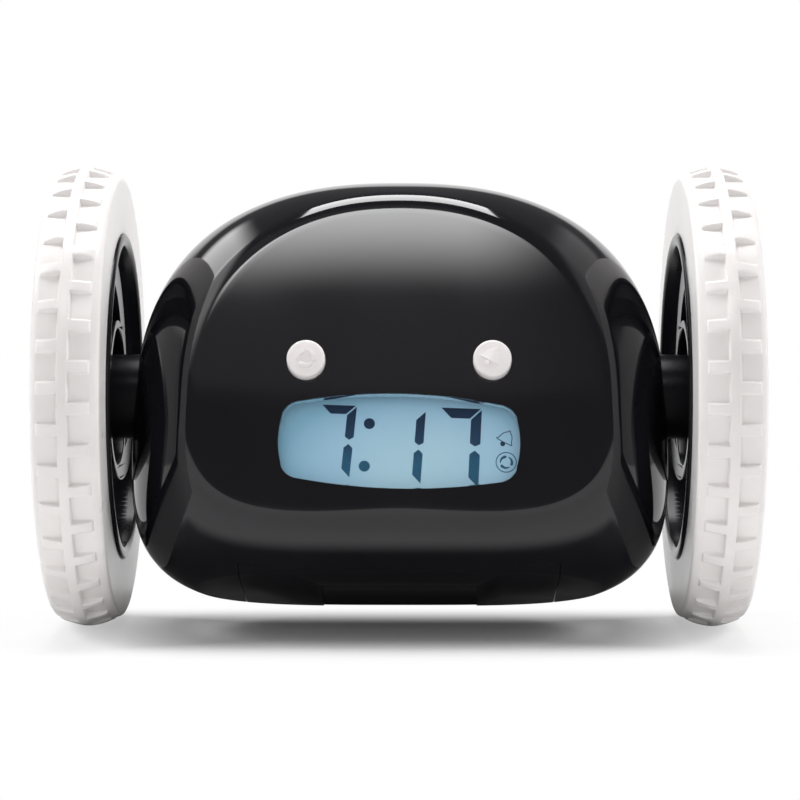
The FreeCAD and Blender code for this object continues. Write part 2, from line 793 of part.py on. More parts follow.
def make_hub():
    """The hub: a rim, three swept blades and a cup that the pod's boss reaches into."""
    face = "wheel_inner_face + rim_inset"
    outside = "wheel_outer_face - rim_inset"
    blade_face = f"{face} + blade_recess"
    blade_back = f"{blade_face} + blade_depth"
    nose = f"{blade_back} + hub_nose_height"
    body = turned("hub_model", [
        (face, "hub_land_radius"),
        (face, "tyre_seat_radius"),
        (outside, "tyre_seat_radius"),
        (outside, "hub_land_radius"),
        (blade_back, "hub_land_radius"),
        (blade_back, "hub_nose_radius + 0.8"),
        (nose, "hub_nose_radius"),
        (nose, "3"),
        (f"{blade_back} + 0.6", "3"),
        (f"{blade_back} + 0.6", "axle_radius"),
        (f"{blade_back} - hub_web", "axle_radius"),
        (f"{blade_back} - hub_web", "hub_cup_radius"),
        (blade_face, "hub_cup_radius"),
        (blade_face, "hub_land_radius"),
    ])
    opening = sketch_on(body, "YZ_Plane", "opening", {"z": "wheel_inner_face - 1"})
    draw_blade_opening(opening)
    slot = body.newObject("PartDesign::Pocket", "hub_slot")
    slot.Profile = opening
    slot.setExpression("Length", bound("wheel_outer_face - wheel_inner_face + 2"))
    slot.Reversed = True
    whole = body.Shape.Volume
    doc.recompute()
    if body.Shape.Volume > 0.95 * whole:
        raise RuntimeError("the hub's opening was cut the wrong way")
    repeat_round(body, [slot], "blade_count")
    keep_pair(body, "hub", in_pod=False)


def make_wheel_screw():
    """The screw that holds the hub on the end of its axle."""
    seat = "wheel_inner_face + rim_inset + blade_recess + blade_depth + 0.6"
    keep_pair(turned("wheel_screw_model", [
        (f"{seat} - 4", "0"),
        (f"{seat} - 4", "0.75"),
        (seat, "0.75"),
        (seat, "2.3"),
        (f"{seat} + 0.7", "2.3"),
        (f"{seat} + 1.3", "1.6"),
        (f"{seat} + 1.3", "0"),
    ]), "wheel_screw", in_pod=False)


# ---------------------------------------------------------------- drive train

TOOTH_ADDENDUM = 0.9
TOOTH_DEDENDUM = 1.2
TOOTH_SHARE_AT_PITCH = 0.44
TOOTH_SHARE_AT_ROOT = 0.58
TOOTH_SHARE_AT_TIP = 0.20
GEAR_POSTS = ((-9.0, 9.0), (-9.0, -9.0), (7.2, 10.4))


def gear_disc(name, teeth, turn, start, length, place=(0.0, 0.0)):
    """A toothed disc along X; turn is the direction of its first tooth in degrees."""
    module = size("gear_module")
    pitch_radius = module * teeth / 2
    tip = pitch_radius + TOOTH_ADDENDUM * module
    root = pitch_radius - TOOTH_DEDENDUM * module
    flank = ((root, TOOTH_SHARE_AT_ROOT), (pitch_radius, TOOTH_SHARE_AT_PITCH),
             (tip, TOOTH_SHARE_AT_TIP))
    pitch = 360 / teeth
    points = []
    for i in range(teeth):
        for way, half in ((-1, flank), (1, flank[::-1])):
            for radius, share in half:
                angle = math.radians(turn + i * pitch + way * share * pitch / 2)
                y = place[0] + radius * math.cos(angle)
                z = place[1] + radius * math.sin(angle)
                points.append(Vector(start, y, z))
    outline = Part.makePolygon(points + points[:1])
    return held_shape(name, Part.Face(outline).extrude(Vector(length, 0, 0)))


def heading(start, end):
    """The direction in degrees from one gear's centre to another's."""
    return math.degrees(math.atan2(end[1] - start[1], end[0] - start[0]))


def meshing_turn(teeth, towards, partner_teeth, partner_turn):
    """The turn that puts a gap of this gear where the partner has a tooth."""
    phase = ((towards + 180 - partner_turn) * partner_teeth / 360) % 1.0
    return towards + (0.5 + phase) * 360 / teeth


def gear_places():
    """The centres of the idler and of the motor's shaft, in the plane of the gears."""
    idler = (size("idler_back"), size("idler_height"))
    motor = (size("motor_back"), size("motor_height"))
    return idler, motor


def make_gears():
    """The axle gear, the two-step idler and the motor's pinion, meshed with each other."""
    idler, motor = gear_places()
    teeth = {name: int(size(name)) for name in
             ("axle_gear_teeth", "idler_small_teeth", "idler_large_teeth", "pinion_teeth")}
    idler_turn = meshing_turn(teeth["idler_small_teeth"], heading(idler, (0, 0)),
                              teeth["axle_gear_teeth"], 0.0)
    pinion_turn = meshing_turn(teeth["pinion_teeth"], heading(motor, idler),
                               teeth["idler_large_teeth"], idler_turn)
    thickness = size("gear_thickness")
    large_start = size("large_gear_start")

    disc = gear_disc("axle_teeth", teeth["axle_gear_teeth"], 0.0, size("axle_gear_start"), thickness)
    collar = rod("axle_gear_collar", "x", "bush_radius", "axle_gear_start - 1",
                 "axle_gear_start + gear_thickness + 0.6")
    bore = rod("axle_gear_bore", "x", "axle_radius", "0", "60")
    keep_pair(cut("axle_gear_model", fuse("axle_gear_body", [disc, collar]), [bore]), "axle_gear")

    large = gear_disc("idler_large", teeth["idler_large_teeth"], idler_turn, large_start,
                      thickness, idler)
    small = gear_disc("idler_small", teeth["idler_small_teeth"], idler_turn,
                      large_start + thickness - 0.2, 5.0, idler)
    bore = rod("idler_bore", "x", "idler_pin_radius + running_gap", "0", "60", "idler_back",
               "idler_height")
    keep_pair(cut("idler_gear_model", fuse("idler_body", [large, small]), [bore]), "idler_gear")

    pinion = gear_disc("pinion_teeth_disc", teeth["pinion_teeth"], pinion_turn,
                       large_start - 0.4, thickness + 0.8, motor)
    shaft = rod("motor_shaft", "x", "shaft_radius", "20", "37.5", "motor_back", "motor_height")
    keep_pair(fuse("motor_pinion_model", [pinion, shaft]), "motor_pinion")


def make_axle():
    """The steel axle with its tapped end, the fixed pin of the idler, and the bronze bush."""
    end = "wheel_inner_face + rim_inset + blade_recess + blade_depth + 0.4"
    keep_pair(turned("axle_model", [
        ("gear_plate_start - 0.8", "0"),
        ("gear_plate_start - 0.8", "axle_radius - 0.3"),
        ("gear_plate_start - 0.5", "axle_radius"),
        (end, "axle_radius"),
        (end, "0.75"),
        (f"{end} - 6", "0.75"),
        (f"{end} - 6", "0"),
    ]), "axle")
    keep_pair(rod("idler_pin_model", "x", "idler_pin_radius", "gear_plate_start",
                  "gear_frame_start + gear_plate_thickness", "idler_back", "idler_height"),
              "idler_pin")
    keep_pair(turned("axle_bush_model", [
        ("boss_end - bush_length", "axle_radius + running_gap"),
        ("boss_end - bush_length", "bush_radius"),
        ("boss_end", "bush_radius"),
        ("boss_end", "axle_radius + running_gap"),
    ]), "axle_bush")


def belt_plate(name, circles, start, thickness):
    """A plate whose edge runs like a belt round circles (y, z, radius), listed anticlockwise."""
    leaving = []
    for i, (y, z, radius) in enumerate(circles):
        next_y, next_z, next_radius = circles[(i + 1) % len(circles)]
        gap = math.hypot(next_y - y, next_z - z)
        along = math.atan2(next_z - z, next_y - y)
        leaving.append(along - math.pi / 2 - math.asin((next_radius - radius) / gap))
    edges = []
    for i, (y, z, radius) in enumerate(circles):
        arriving = leaving[i - 1]
        turn = (leaving[i] - arriving) % (2 * math.pi)
        angles = (arriving, arriving + turn / 2, arriving + turn)
        points = [Vector(start, y + radius * math.cos(a), z + radius * math.sin(a)) for a in angles]
        edges.append(Part.Arc(*points).toShape())
        next_y, next_z, next_radius = circles[(i + 1) % len(circles)]
        landing = Vector(start, next_y + next_radius * math.cos(leaving[i]),
                         next_z + next_radius * math.sin(leaving[i]))
        edges.append(Part.LineSegment(points[2], landing).toShape())
    return held_shape(name, Part.Face(Part.Wire(edges)).extrude(Vector(thickness, 0, 0)))


def make_gear_frames():
    """Each gear case: an outer frame with posts and a boss, an inner plate, and three screws."""
    idler, motor = gear_places()
    upper, lower, behind = GEAR_POSTS
    plate_end = "gear_plate_start + gear_plate_thickness"
    frame_end = "gear_frame_start + gear_plate_thickness"
    thickness = size("gear_plate_thickness")

    frame_plate = belt_plate("frame_plate", [(*lower, 3.0), (*idler, 3.2), (*behind, 3.0),
                                             (*upper, 3.0)], size("gear_frame_start"), thickness)
    pieces = [frame_plate, rod("frame_boss", "x", "boss_radius", "gear_frame_start", "boss_end")]
    holes = [
        rod("frame_axle_hole", "x", "axle_radius + 0.7", "30", "70"),
        rod("frame_bush_seat", "x", "bush_radius", "boss_end - bush_length", "70"),
        rod("frame_pin_hole", "x", "idler_pin_radius", "30", frame_end, "idler_back",
            "idler_height"),
    ]
    plate = belt_plate("plate_outline", [(*lower, 3.0), (*idler, 4.0), (*motor, 7.0),
                                         (*behind, 3.0), (*upper, 3.0)],
                       size("gear_plate_start"), thickness)
    plate_holes = [
        rod("plate_axle_hole", "x", "axle_radius + running_gap", "20", "50"),
        rod("plate_pin_hole", "x", "idler_pin_radius", "20", "50", "idler_back", "idler_height"),
        rod("plate_nose_hole", "x", "motor_nose_radius + 0.1", "20", "50", "motor_back",
            "motor_height"),
    ]
    screws = []
    for i, (y, z) in enumerate(GEAR_POSTS):
        place = (str(y), str(z))
        pieces.append(rod(f"frame_post_{i}", "x", "gear_post_radius", plate_end,
                          "gear_frame_start + 0.5", *place))
        holes.append(rod(f"frame_pilot_{i}", "x", "screw_radius", "30", "39", *place))
        plate_holes.append(rod(f"plate_hole_{i}", "x", "screw_radius", "20", "50", *place))
        screws.append(screw(f"gear_screw_{i}", "x", "gear_plate_start", -1, "6", *place))
    keep_pair(cut("gear_frame_model", fuse("frame_body", pieces), holes), "gear_frame")
    keep_pair(cut("gear_plate_model", plate, plate_holes), "gear_plate")
    keep_pair(group("gear_screws_model", screws), "gear_screws")


def make_motor():
    """The motor: a round can with two flats, its nose and its end cap."""
    place = ("motor_back", "motor_height")
    can = rod("motor_can", "x", "motor_radius", "motor_start", "gear_plate_start", *place)
    flats = block("motor_flats", ("motor_start", "gear_plate_start"),
                  ("motor_back - motor_thickness / 2", "motor_back + motor_thickness / 2"),
                  ("motor_height - motor_radius", "motor_height + motor_radius"))
    body = fuse("motor_body", [
        common("motor_shell", [can, flats]),
        rod("motor_nose", "x", "motor_nose_radius", "gear_plate_start - 0.5",
            "gear_plate_start + 1.5", *place),
        rod("motor_tail", "x", "2.5", "motor_start - 1.2", "motor_start + 0.8", *place),
    ])
    bore = rod("motor_bore", "x", "shaft_radius + running_gap", "19", "50", *place)
    keep_pair(cut("motor_model", body, [bore]), "motor")


# ---------------------------------------------------------------- build

def build():
    """Make every sub-part."""
    hollow = rounded_pod().cut(inner_pod(size("wall")))
    make_front_shell(hollow)
    make_rear_shell(hollow)
    make_casing_screws()
    make_battery_door()
    make_window()
    make_eye("wheel_mode_button", "-")
    make_eye("alarm_mode_button", "")
    make_display()
    make_snooze()
    make_set_buttons()
    make_speaker()
    make_batteries()
    make_battery_tray()
    make_tyre()
    make_hub()
    make_wheel_screw()
    make_gears()
    make_axle()
    make_gear_frames()
    make_motor()


def check():
    """Stop if any object failed or any kept shape is empty or not valid."""
    doc.recompute()
    for obj in doc.Objects:
        if "Invalid" in obj.State or "Error" in obj.State:
            raise RuntimeError(f"{obj.Label} did not compute")
    for piece in kept:
        if piece.Shape.isNull() or not piece.Shape.isValid() or not piece.Shape.Solids:
            raise RuntimeError(f"{piece.Label} has no valid solid")


def write():
    """Write each sub-part to its own file."""
    os.makedirs("parts", exist_ok=True)
    for piece in kept:
        piece.Shape.exportStep(f"parts/{piece.Label}.step")
        print(piece.Label, len(piece.Shape.Solids), round(piece.Shape.Volume, 1))


build()
check()
write()
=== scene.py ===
import json
import math
from contextlib import contextmanager

import bmesh
import bpy
import numpy as np
from mathutils import Matrix, Vector
from mathutils.bvhtree import BVHTree

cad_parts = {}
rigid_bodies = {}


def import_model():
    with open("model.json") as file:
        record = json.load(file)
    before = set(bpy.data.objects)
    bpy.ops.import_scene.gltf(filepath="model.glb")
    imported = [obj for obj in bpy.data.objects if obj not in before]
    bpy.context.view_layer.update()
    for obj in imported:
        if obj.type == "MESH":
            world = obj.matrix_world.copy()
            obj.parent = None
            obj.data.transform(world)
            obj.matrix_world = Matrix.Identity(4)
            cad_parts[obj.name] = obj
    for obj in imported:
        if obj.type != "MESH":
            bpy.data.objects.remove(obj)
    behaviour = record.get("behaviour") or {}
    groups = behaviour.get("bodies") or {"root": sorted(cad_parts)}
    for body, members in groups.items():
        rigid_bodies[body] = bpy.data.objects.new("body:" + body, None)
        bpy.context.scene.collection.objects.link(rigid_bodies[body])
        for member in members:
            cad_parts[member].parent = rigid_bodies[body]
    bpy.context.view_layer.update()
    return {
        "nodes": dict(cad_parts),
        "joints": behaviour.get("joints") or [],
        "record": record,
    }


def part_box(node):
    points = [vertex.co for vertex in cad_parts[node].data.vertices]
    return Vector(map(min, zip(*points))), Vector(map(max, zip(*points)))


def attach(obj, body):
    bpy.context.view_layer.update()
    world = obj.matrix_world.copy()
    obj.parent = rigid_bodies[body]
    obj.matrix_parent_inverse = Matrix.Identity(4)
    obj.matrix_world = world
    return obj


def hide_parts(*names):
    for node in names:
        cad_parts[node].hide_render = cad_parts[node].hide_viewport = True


bl_info = {
    "name": "Runaway alarm clock",
    "version": (1, 0, 0),
    "blender": (4, 5, 0),
    "location": "3D View > Sidebar > Clock",
    "description": "Dresses a two-wheeled alarm clock: casing, face, display, tyres, hubs and "
                   "stage",
    "category": "Object",
}

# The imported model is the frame: metres, +X right, +Y back, +Z up, floor at zero. The wheels are
# drawn in millimetres about the axle. The pod's pieces are drawn so too, with the face upright and
# the base level, and then leaned back.
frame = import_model()

MM = 0.001
AXLE_HEIGHT = sum(corner.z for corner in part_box("right_axle")) / 2
PRESS_AXIS = next(j["axis"] for j in frame["joints"] if j["name"] == "wheel_mode_press")
LEAN = math.atan2(-PRESS_AXIS[2], PRESS_AXIS[1])
RAISED = Matrix.Translation((0, 0, AXLE_HEIGHT))
AXLE = RAISED @ Matrix.Scale(MM, 4)
POD = RAISED @ Matrix.Rotation(-LEAN, 4, "X") @ Matrix.Scale(MM, 4)
SIDES = ((1, "right"), (-1, "left"))


# ---------------------------------------------------------------- settings

def length(name, default, description, lowest=0.0):
    """A size in millimetres that a user may change."""
    return bpy.props.FloatProperty(name=name, description=description, default=default,
                                   min=lowest, unit="NONE")


def colour(name, default, description):
    """A colour that a user may change."""
    return bpy.props.FloatVectorProperty(name=name, description=description, default=default,
                                         subtype="COLOR", size=3, min=0.0, max=1.0)


class ClockSizes(bpy.types.PropertyGroup):
    """Sizes of the clock's pieces, in millimetres; heights are above the axle."""

    pod_radius: length("Pod radius", 41.5, "Radius of the pod about the axle, seen from the side")
    pod_half_width: length("Pod half width", 51.7, "Half the pod's width at the axle")
    pod_drop: length("Widest drop", 8.4, "How far below the axle the pod is widest")
    pod_back: length("Pod back", 35.0, "Distance from the axle to the flat back")
    base_drop: length("Base drop", 38.2, "Distance from the axle down to the flat base")
    wall: length("Wall", 2.0, "Thickness of the casing")
    face_front: length("Face front", 28.2, "Distance from the axle to the middle of the face")
    face_inside: length("Face inside", 25.2, "Distance from the axle to the back of the face wall")
    face_dome: length("Face dome", 400.0, "Radius of the face's slight dome")
    face_edge: length("Face edge", 6.4, "Rounding of the edge of the face")
    seam_distance: length("Seam distance", 24.0, "Distance from the axle to the casing's seam")
    seam_lean: length("Seam lean", 14.75, "Lean of the casing's seam in degrees")
    seam_gap: length("Seam gap", 0.16, "Width of the line between two parts of the casing")
    window_half_width: length("Window half width", 22.1, "Half the width of the display window")
    window_half_height: length("Window half height", 8.8, "Half the height of the window")
    window_height: length("Window height", -16.4, "Height of the window's middle", -100.0)
    window_corner: length("Window corner", 3.6, "Rounding of the window's corners")
    eye_distance: length("Eye distance", 17.2, "Distance of each mode button from the middle")
    eye_height: length("Eye height", -1.2, "Height of the mode buttons", -100.0)
    eye_radius: length("Eye radius", 3.55, "Radius of the mode buttons")
    boss_radius: length("Boss radius", 8.2, "Radius of the bosses that carry the axles")


class ClockColours(bpy.types.PropertyGroup):
    """Colours of the clock's finishes."""

    casing: colour("Casing", (0.0062, 0.0058, 0.0078), "Gloss plastic of the casing")
    rubber: colour("Rubber", (0.80, 0.772, 0.762), "Rubber of the tyres")
    button: colour("Button", (0.82, 0.785, 0.78), "Plastic of the mode buttons")
    hub: colour("Hub", (0.0085, 0.0083, 0.0105), "Satin plastic of the hubs")
    display: colour("Display", (0.285, 0.455, 0.57), "Lit ground of the display")
    segment: colour("Segment", (0.004, 0.017, 0.052), "Dark segments of the display")
    steel: colour("Steel", (0.55, 0.55, 0.56), "Screws and shafts")
    board: colour("Board", (0.02, 0.12, 0.045), "Circuit boards")


def sizes():
    """The sizes now set on the scene."""
    return bpy.context.scene.clock_sizes


def colours():
    """The colours now set on the scene."""
    return bpy.context.scene.clock_colours


# ---------------------------------------------------------------- meshes and objects

ON_AXIS = 1e-9


def new_mesh(name, points, faces):
    """A mesh from points and faces."""
    mesh = bpy.data.meshes.new(name)
    mesh.from_pydata([tuple(map(float, p)) for p in points], [], [tuple(f) for f in faces])
    mesh.update()
    return mesh


def link(name, data):
    """An object for a mesh, a lamp or a camera, in the scene."""
    thing = bpy.data.objects.new(name, data)
    bpy.context.scene.collection.objects.link(thing)
    return thing


@contextmanager
def editing(mesh):
    """A mesh's editable form, written back at the end."""
    whole = bmesh.new()
    whole.from_mesh(mesh)
    yield whole
    whole.to_mesh(mesh)
    whole.free()


def placed(mesh, matrix):
    """A mesh after a move, a turn or a scale."""
    mesh.transform(matrix)
    return mesh


def shifted(mesh, x, y, z):
    """A mesh after a move."""
    return placed(mesh, Matrix.Translation((x, y, z)))


def outward(mesh):
    """A closed mesh with all its faces turned outwards."""
    with editing(mesh) as whole:
        bmesh.ops.remove_doubles(whole, verts=whole.verts, dist=1e-7)
        bmesh.ops.recalc_face_normals(whole, faces=whole.faces)
    return mesh


def joined(name, meshes):
    """One mesh from several."""
    result = bpy.data.meshes.new(name)
    with editing(result) as whole:
        for mesh in meshes:
            whole.from_mesh(mesh)
    return result


def evaluated(name, thing, *helpers):
    """An object's plain mesh after its modifiers; the object and its helpers are removed."""
    bpy.context.view_layer.update()
    graph = bpy.context.evaluated_depsgraph_get()
    mesh = bpy.data.meshes.new_from_object(thing.evaluated_get(graph), depsgraph=graph)
    mesh.name = name
    for helper in (thing, *helpers):
        data = helper.data
        bpy.data.objects.remove(helper)
        if not data.users:
            bpy.data.batch_remove([data])
    return mesh


def modified(name, mesh, kind, helpers=(), inputs=None, **settings):
    """A mesh after one modifier; the inputs of a node modifier are given by name."""
    base = link(f"{name}_base", mesh)
    modifier = base.modifiers.new(kind.lower(), kind)
    for key, value in settings.items():
        setattr(modifier, key, value)
    for item in modifier.node_group.interface.items_tree if inputs else ():
        if item.in_out == "INPUT" and item.name in inputs:
            modifier[item.identifier] = inputs[item.name]
    return evaluated(name, base, *helpers)


def combined(name, mesh, operation, *others):
    """A mesh after an exact boolean with others."""
    tool = link(f"{name}_tool", joined(f"{name}_tool", others))
    result = modified(name, mesh, "BOOLEAN", (tool,), operation=operation, solver="EXACT",
                      object=tool)
    if not result.polygons:
        raise RuntimeError(f"{name}: the boolean left nothing")
    return result


def bevelled(name, mesh, width, segments):
    """A mesh with its sharp edges rounded."""
    return modified(name, mesh, "BEVEL", width=width, segments=segments, limit_method="ANGLE",
                    angle_limit=math.radians(50))


def strip(rows, closed):
    """Faces between rows of point numbers."""
    faces = []
    for a, b in zip(rows, rows[1:]):
        count = len(a)
        for i in range(count if closed else count - 1):
            j = (i + 1) % count
            faces.append((a[i], a[j], b[j], b[i]))
    return faces


def lathe(name, profile, segments=96, axis="x"):
    """A closed solid turned from (along, radius) pairs; its ends may lie on the axis."""
    points, rows = [], []
    for along, radius in profile:
        count = segments if radius > ON_AXIS else 1
        rows.append([len(points) + i % count for i in range(segments)])
        for i in range(count):
            turn = 2 * math.pi * i / segments
            points.append((along, radius * math.cos(turn), radius * math.sin(turn)))
    if profile[0][1] > ON_AXIS:
        rows.append(rows[0])
    corners = [list(dict.fromkeys(face)) for face in strip(rows, True)]
    if axis == "y":
        points = [(y, x, z) for x, y, z in points]
    return outward(new_mesh(name, points, [face for face in corners if len(face) > 2]))


def prism(name, outline, low, high):
    """A solid along Y from an (x, z) outline."""
    count = len(outline)
    points = [(x, depth, z) for depth in (low, high) for x, z in outline]
    front, back = range(count), range(count, 2 * count)
    return outward(new_mesh(name, points, strip([front, back], True) + [front, back[::-1]]))


def upright_prism(name, outline, low, high):
    """A solid along Z from an (x, y) outline."""
    swap = Matrix(((1, 0, 0, 0), (0, 0, 1, 0), (0, 1, 0, 0), (0, 0, 0, 1)))
    mesh = placed(prism(name, outline, low, high), swap)
    mesh.flip_normals()
    return mesh


def block(name, low, high):
    """A plain box between two corners."""
    low, high = Vector(low), Vector(high)
    mesh = bpy.data.meshes.new(name)
    with editing(mesh) as whole:
        bmesh.ops.create_cube(whole, size=1.0, matrix=Matrix.Translation((low + high) / 2)
                              @ Matrix.Diagonal((*(high - low), 1.0)))
    return mesh


def unit(vectors):
    """Vectors of length one."""
    return vectors / np.linalg.norm(vectors, axis=-1, keepdims=True)


def stroke(name, line, width, depths):
    """A ribbon of one width along an (x, z) line, as a solid along Y."""
    line = np.array(line, float)
    along = unit(np.gradient(line, axis=0))
    across = np.stack([-along[:, 1], along[:, 0]], axis=1) * width / 2
    return prism(name, np.concatenate([line + across, (line - across)[::-1]]), *depths)


def moved(outline, size, degrees, centre):
    """An outline scaled, turned and moved in its plane."""
    c, s = math.cos(math.radians(degrees)), math.sin(math.radians(degrees))
    return [(centre[0] + size * (x * c - z * s), centre[1] + size * (x * s + z * c))
            for x, z in outline]


def arc(centre, radius, start, end, count):
    """Points of an arc, from one angle in degrees to another."""
    turns = [math.radians(start + (end - start) * i / count) for i in range(count + 1)]
    return [(centre[0] + radius * math.cos(t), centre[1] + radius * math.sin(t)) for t in turns]


def disc(radius, centre=(0.0, 0.0), count=96):
    """A round outline."""
    return arc(centre, radius, 0, 360, count)[:-1]


def round_corner(before, corner, after, count):
    """Points of a circular arc from before to after, whose tangents meet at corner."""
    before, corner, after = (np.asarray(p, float) for p in (before, corner, after))
    into, out = corner - before, after - corner
    norm = np.linalg.norm(into, axis=-1) * np.linalg.norm(out, axis=-1)
    cosine = np.clip(np.sum(into * out, axis=-1) / norm, -1.0, 1.0)
    weight = np.cos(np.arccos(cosine) / 2)[..., None]
    points = []
    for f in np.arange(count + 1) / count:
        first, middle, last = (1 - f) ** 2, 2 * f * (1 - f) * weight, f ** 2
        points.append((first * before + middle * corner + last * after) / (first + middle + last))
    return points


def piece(name, mesh, body, slot, *replaced, crease=None, finish=None):
    """Finish a piece: its shading, material, body and slot, and the CAD nodes it stands for."""
    thing = link(name, mesh)
    if crease:
        mesh.shade_smooth()
        mesh.set_sharp_from_angle(angle=math.radians(crease))
    mesh.materials.clear()
    mesh.materials.append(finish or finish_of(slot))
    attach(thing, body)
    if replaced:
        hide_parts(*replaced)


# ---------------------------------------------------------------- the pod's form

AROUND = 320
INNER_AROUND = 120
TOP_SQUARENESS = 2.65
BASE_SQUARENESS = 3.9
END_ROUNDING = 0.6
ROUNDING_DEPTH = 27.5
SPACING_DEPTH = 20.0
FACE_MIDDLE = np.array([0.0, -1.0])
FACE_ROW_SPREAD = 0.8
BACK_ROUNDING = 4.0
BACK_CUT_LIMIT = 2.4
NUDGE = 0.01
SKIN_REACH = 0.01
SKIN_AGREEMENT = 0.97
FINE = {"face": 26, "edge": 18, "side": 96, "back": 6}
COARSE = {"face": 4, "edge": 1, "side": 30, "back": 3}


def pod_points(depth, turn, inset):
    """Points of the pod's surface: rounder above, squarer below, smaller towards the ends."""
    s = sizes()
    radius = s.pod_radius - inset
    shrink = np.sqrt(np.clip(1 - (depth / radius) ** 2, 0.0, 1.0))
    rounding = END_ROUNDING * np.minimum(1.0, (depth / ROUNDING_DEPTH) ** 2)
    across, up = np.cos(turn), np.sin(turn)
    power = np.where(up >= 0, TOP_SQUARENESS, BASE_SQUARENESS) - rounding
    drop = s.pod_drop * shrink
    height = radius * shrink + np.where(up >= 0, drop, -drop)
    half = (s.pod_half_width - inset) * shrink
    x = half * np.sign(across) * np.abs(across) ** (2 / power)
    z = height * np.sign(up) * np.abs(up) ** (2 / power) - drop
    return np.stack([x, depth, z], axis=-1)


def even_turns(count):
    """Angles that space points evenly round the middle of the pod."""
    fine = 40 * count
    turn = np.arange(fine + 1) * 2 * np.pi / fine + np.pi / 2
    section = pod_points(np.full(fine + 1, SPACING_DEPTH), turn, 0.0)
    run = np.cumsum(np.linalg.norm(np.diff(section, axis=0, prepend=section[:1]), axis=1))
    return np.interp(np.arange(count) * run[-1] / count, run, turn)


def corner_cut(arriving, leaving, rounding):
    """How far before a corner its rounding starts."""
    bend = np.arccos(np.clip(np.sum(unit(arriving) * unit(leaving), axis=1), -1, 1))
    return rounding * np.tan(bend / 2)


def pod_rows(turn, inset, front, dome, edge, detail):
    """Rows of points from the middle of the face, round the side, to the middle of the back."""
    back = np.full_like(turn, sizes().pod_back - inset)

    def on_face(x, z):
        """Depth of the face, slightly domed if it has a dome."""
        if not dome:
            return np.full_like(x, -front)
        return -front + dome - np.sqrt(dome ** 2 - x ** 2 - z ** 2)

    def on_back(x, z):
        return back

    def cap_row(outside, share, depth_at):
        plan = FACE_MIDDLE + (outside[:, [0, 2]] - FACE_MIDDLE) * np.reshape(share, (-1, 1))
        return np.stack([plan[:, 0], depth_at(*plan.T), plan[:, 1]], axis=-1)

    def reach(outside):
        return np.linalg.norm(outside[:, [0, 2]] - FACE_MIDDLE, axis=1)

    def skin(depth):
        return pod_points(depth, turn, inset)

    def bent(before, corner, after):
        return round_corner(before, corner, after, detail["edge"]) if edge else [corner]

    depth = np.full_like(turn, -front)
    for _ in range(12):
        corner = skin(depth)
        depth = on_face(corner[:, 0], corner[:, 2])
    corner = skin(depth)
    cut = corner_cut(corner - cap_row(corner, 1 - NUDGE, on_face), skin(depth + NUDGE) - corner,
                     edge)
    side_start = depth + cut * unit(skin(depth + NUDGE) - corner)[:, 1]
    share = 1 - cut / reach(corner)

    rim = skin(back)
    arriving = rim - skin(back - NUDGE)
    inwards = cap_row(rim, 1 - NUDGE, on_back) - rim
    back_cut = np.minimum(corner_cut(arriving, inwards, BACK_ROUNDING), BACK_CUT_LIMIT) * (edge > 0)
    side_end = back - back_cut * unit(arriving)[:, 1]
    back_share = 1 - back_cut / reach(rim)

    rows = [cap_row(corner, share * (i / detail["face"]) ** FACE_ROW_SPREAD, on_face)
            for i in range(1, detail["face"])]
    rows += bent(cap_row(corner, share, on_face), corner, skin(side_start))
    rows += [skin(side_start + (side_end - side_start) * i / detail["side"])
             for i in range(1, detail["side"])]
    rows += bent(skin(side_end), rim, cap_row(rim, back_share, on_back))
    rows += [cap_row(rim, back_share * (1 - i / detail["back"]), on_back)
             for i in range(1, detail["back"])]
    return rows, [(FACE_MIDDLE[0], depth, FACE_MIDDLE[1]) for depth in (-front, back[0])]


def pod_mesh(name, inset, front, dome, edge, around, detail):
    """The closed surface of the pod, before its base is cut flat."""
    rows, poles = pod_rows(even_turns(around), inset, front, dome, edge, detail)
    points = [p for row in rows for p in row]
    numbers = [range(i * around, (i + 1) * around) for i in range(len(rows))]
    faces = strip(numbers, True)
    for pole, row in zip(poles, (numbers[0], numbers[-1])):
        points.append(pole)
        faces.extend((row[i], row[(i + 1) % around], len(points) - 1) for i in range(around))
    return outward(new_mesh(name, points, faces))


def cut_flat(mesh, height):
    """A closed mesh with its underside cut flat."""
    with editing(mesh) as whole:
        cut = bmesh.ops.bisect_plane(whole, geom=whole.verts[:] + whole.edges[:] + whole.faces[:],
                                     dist=1e-5, plane_co=(0, 0, height), plane_no=(0, 0, 1),
                                     clear_inner=True)
        edges = [e for e in cut["geom_cut"] if isinstance(e, bmesh.types.BMEdge)]
        bmesh.ops.edgeloop_fill(whole, edges=edges)
        bmesh.ops.recalc_face_normals(whole, faces=whole.faces)
    return mesh


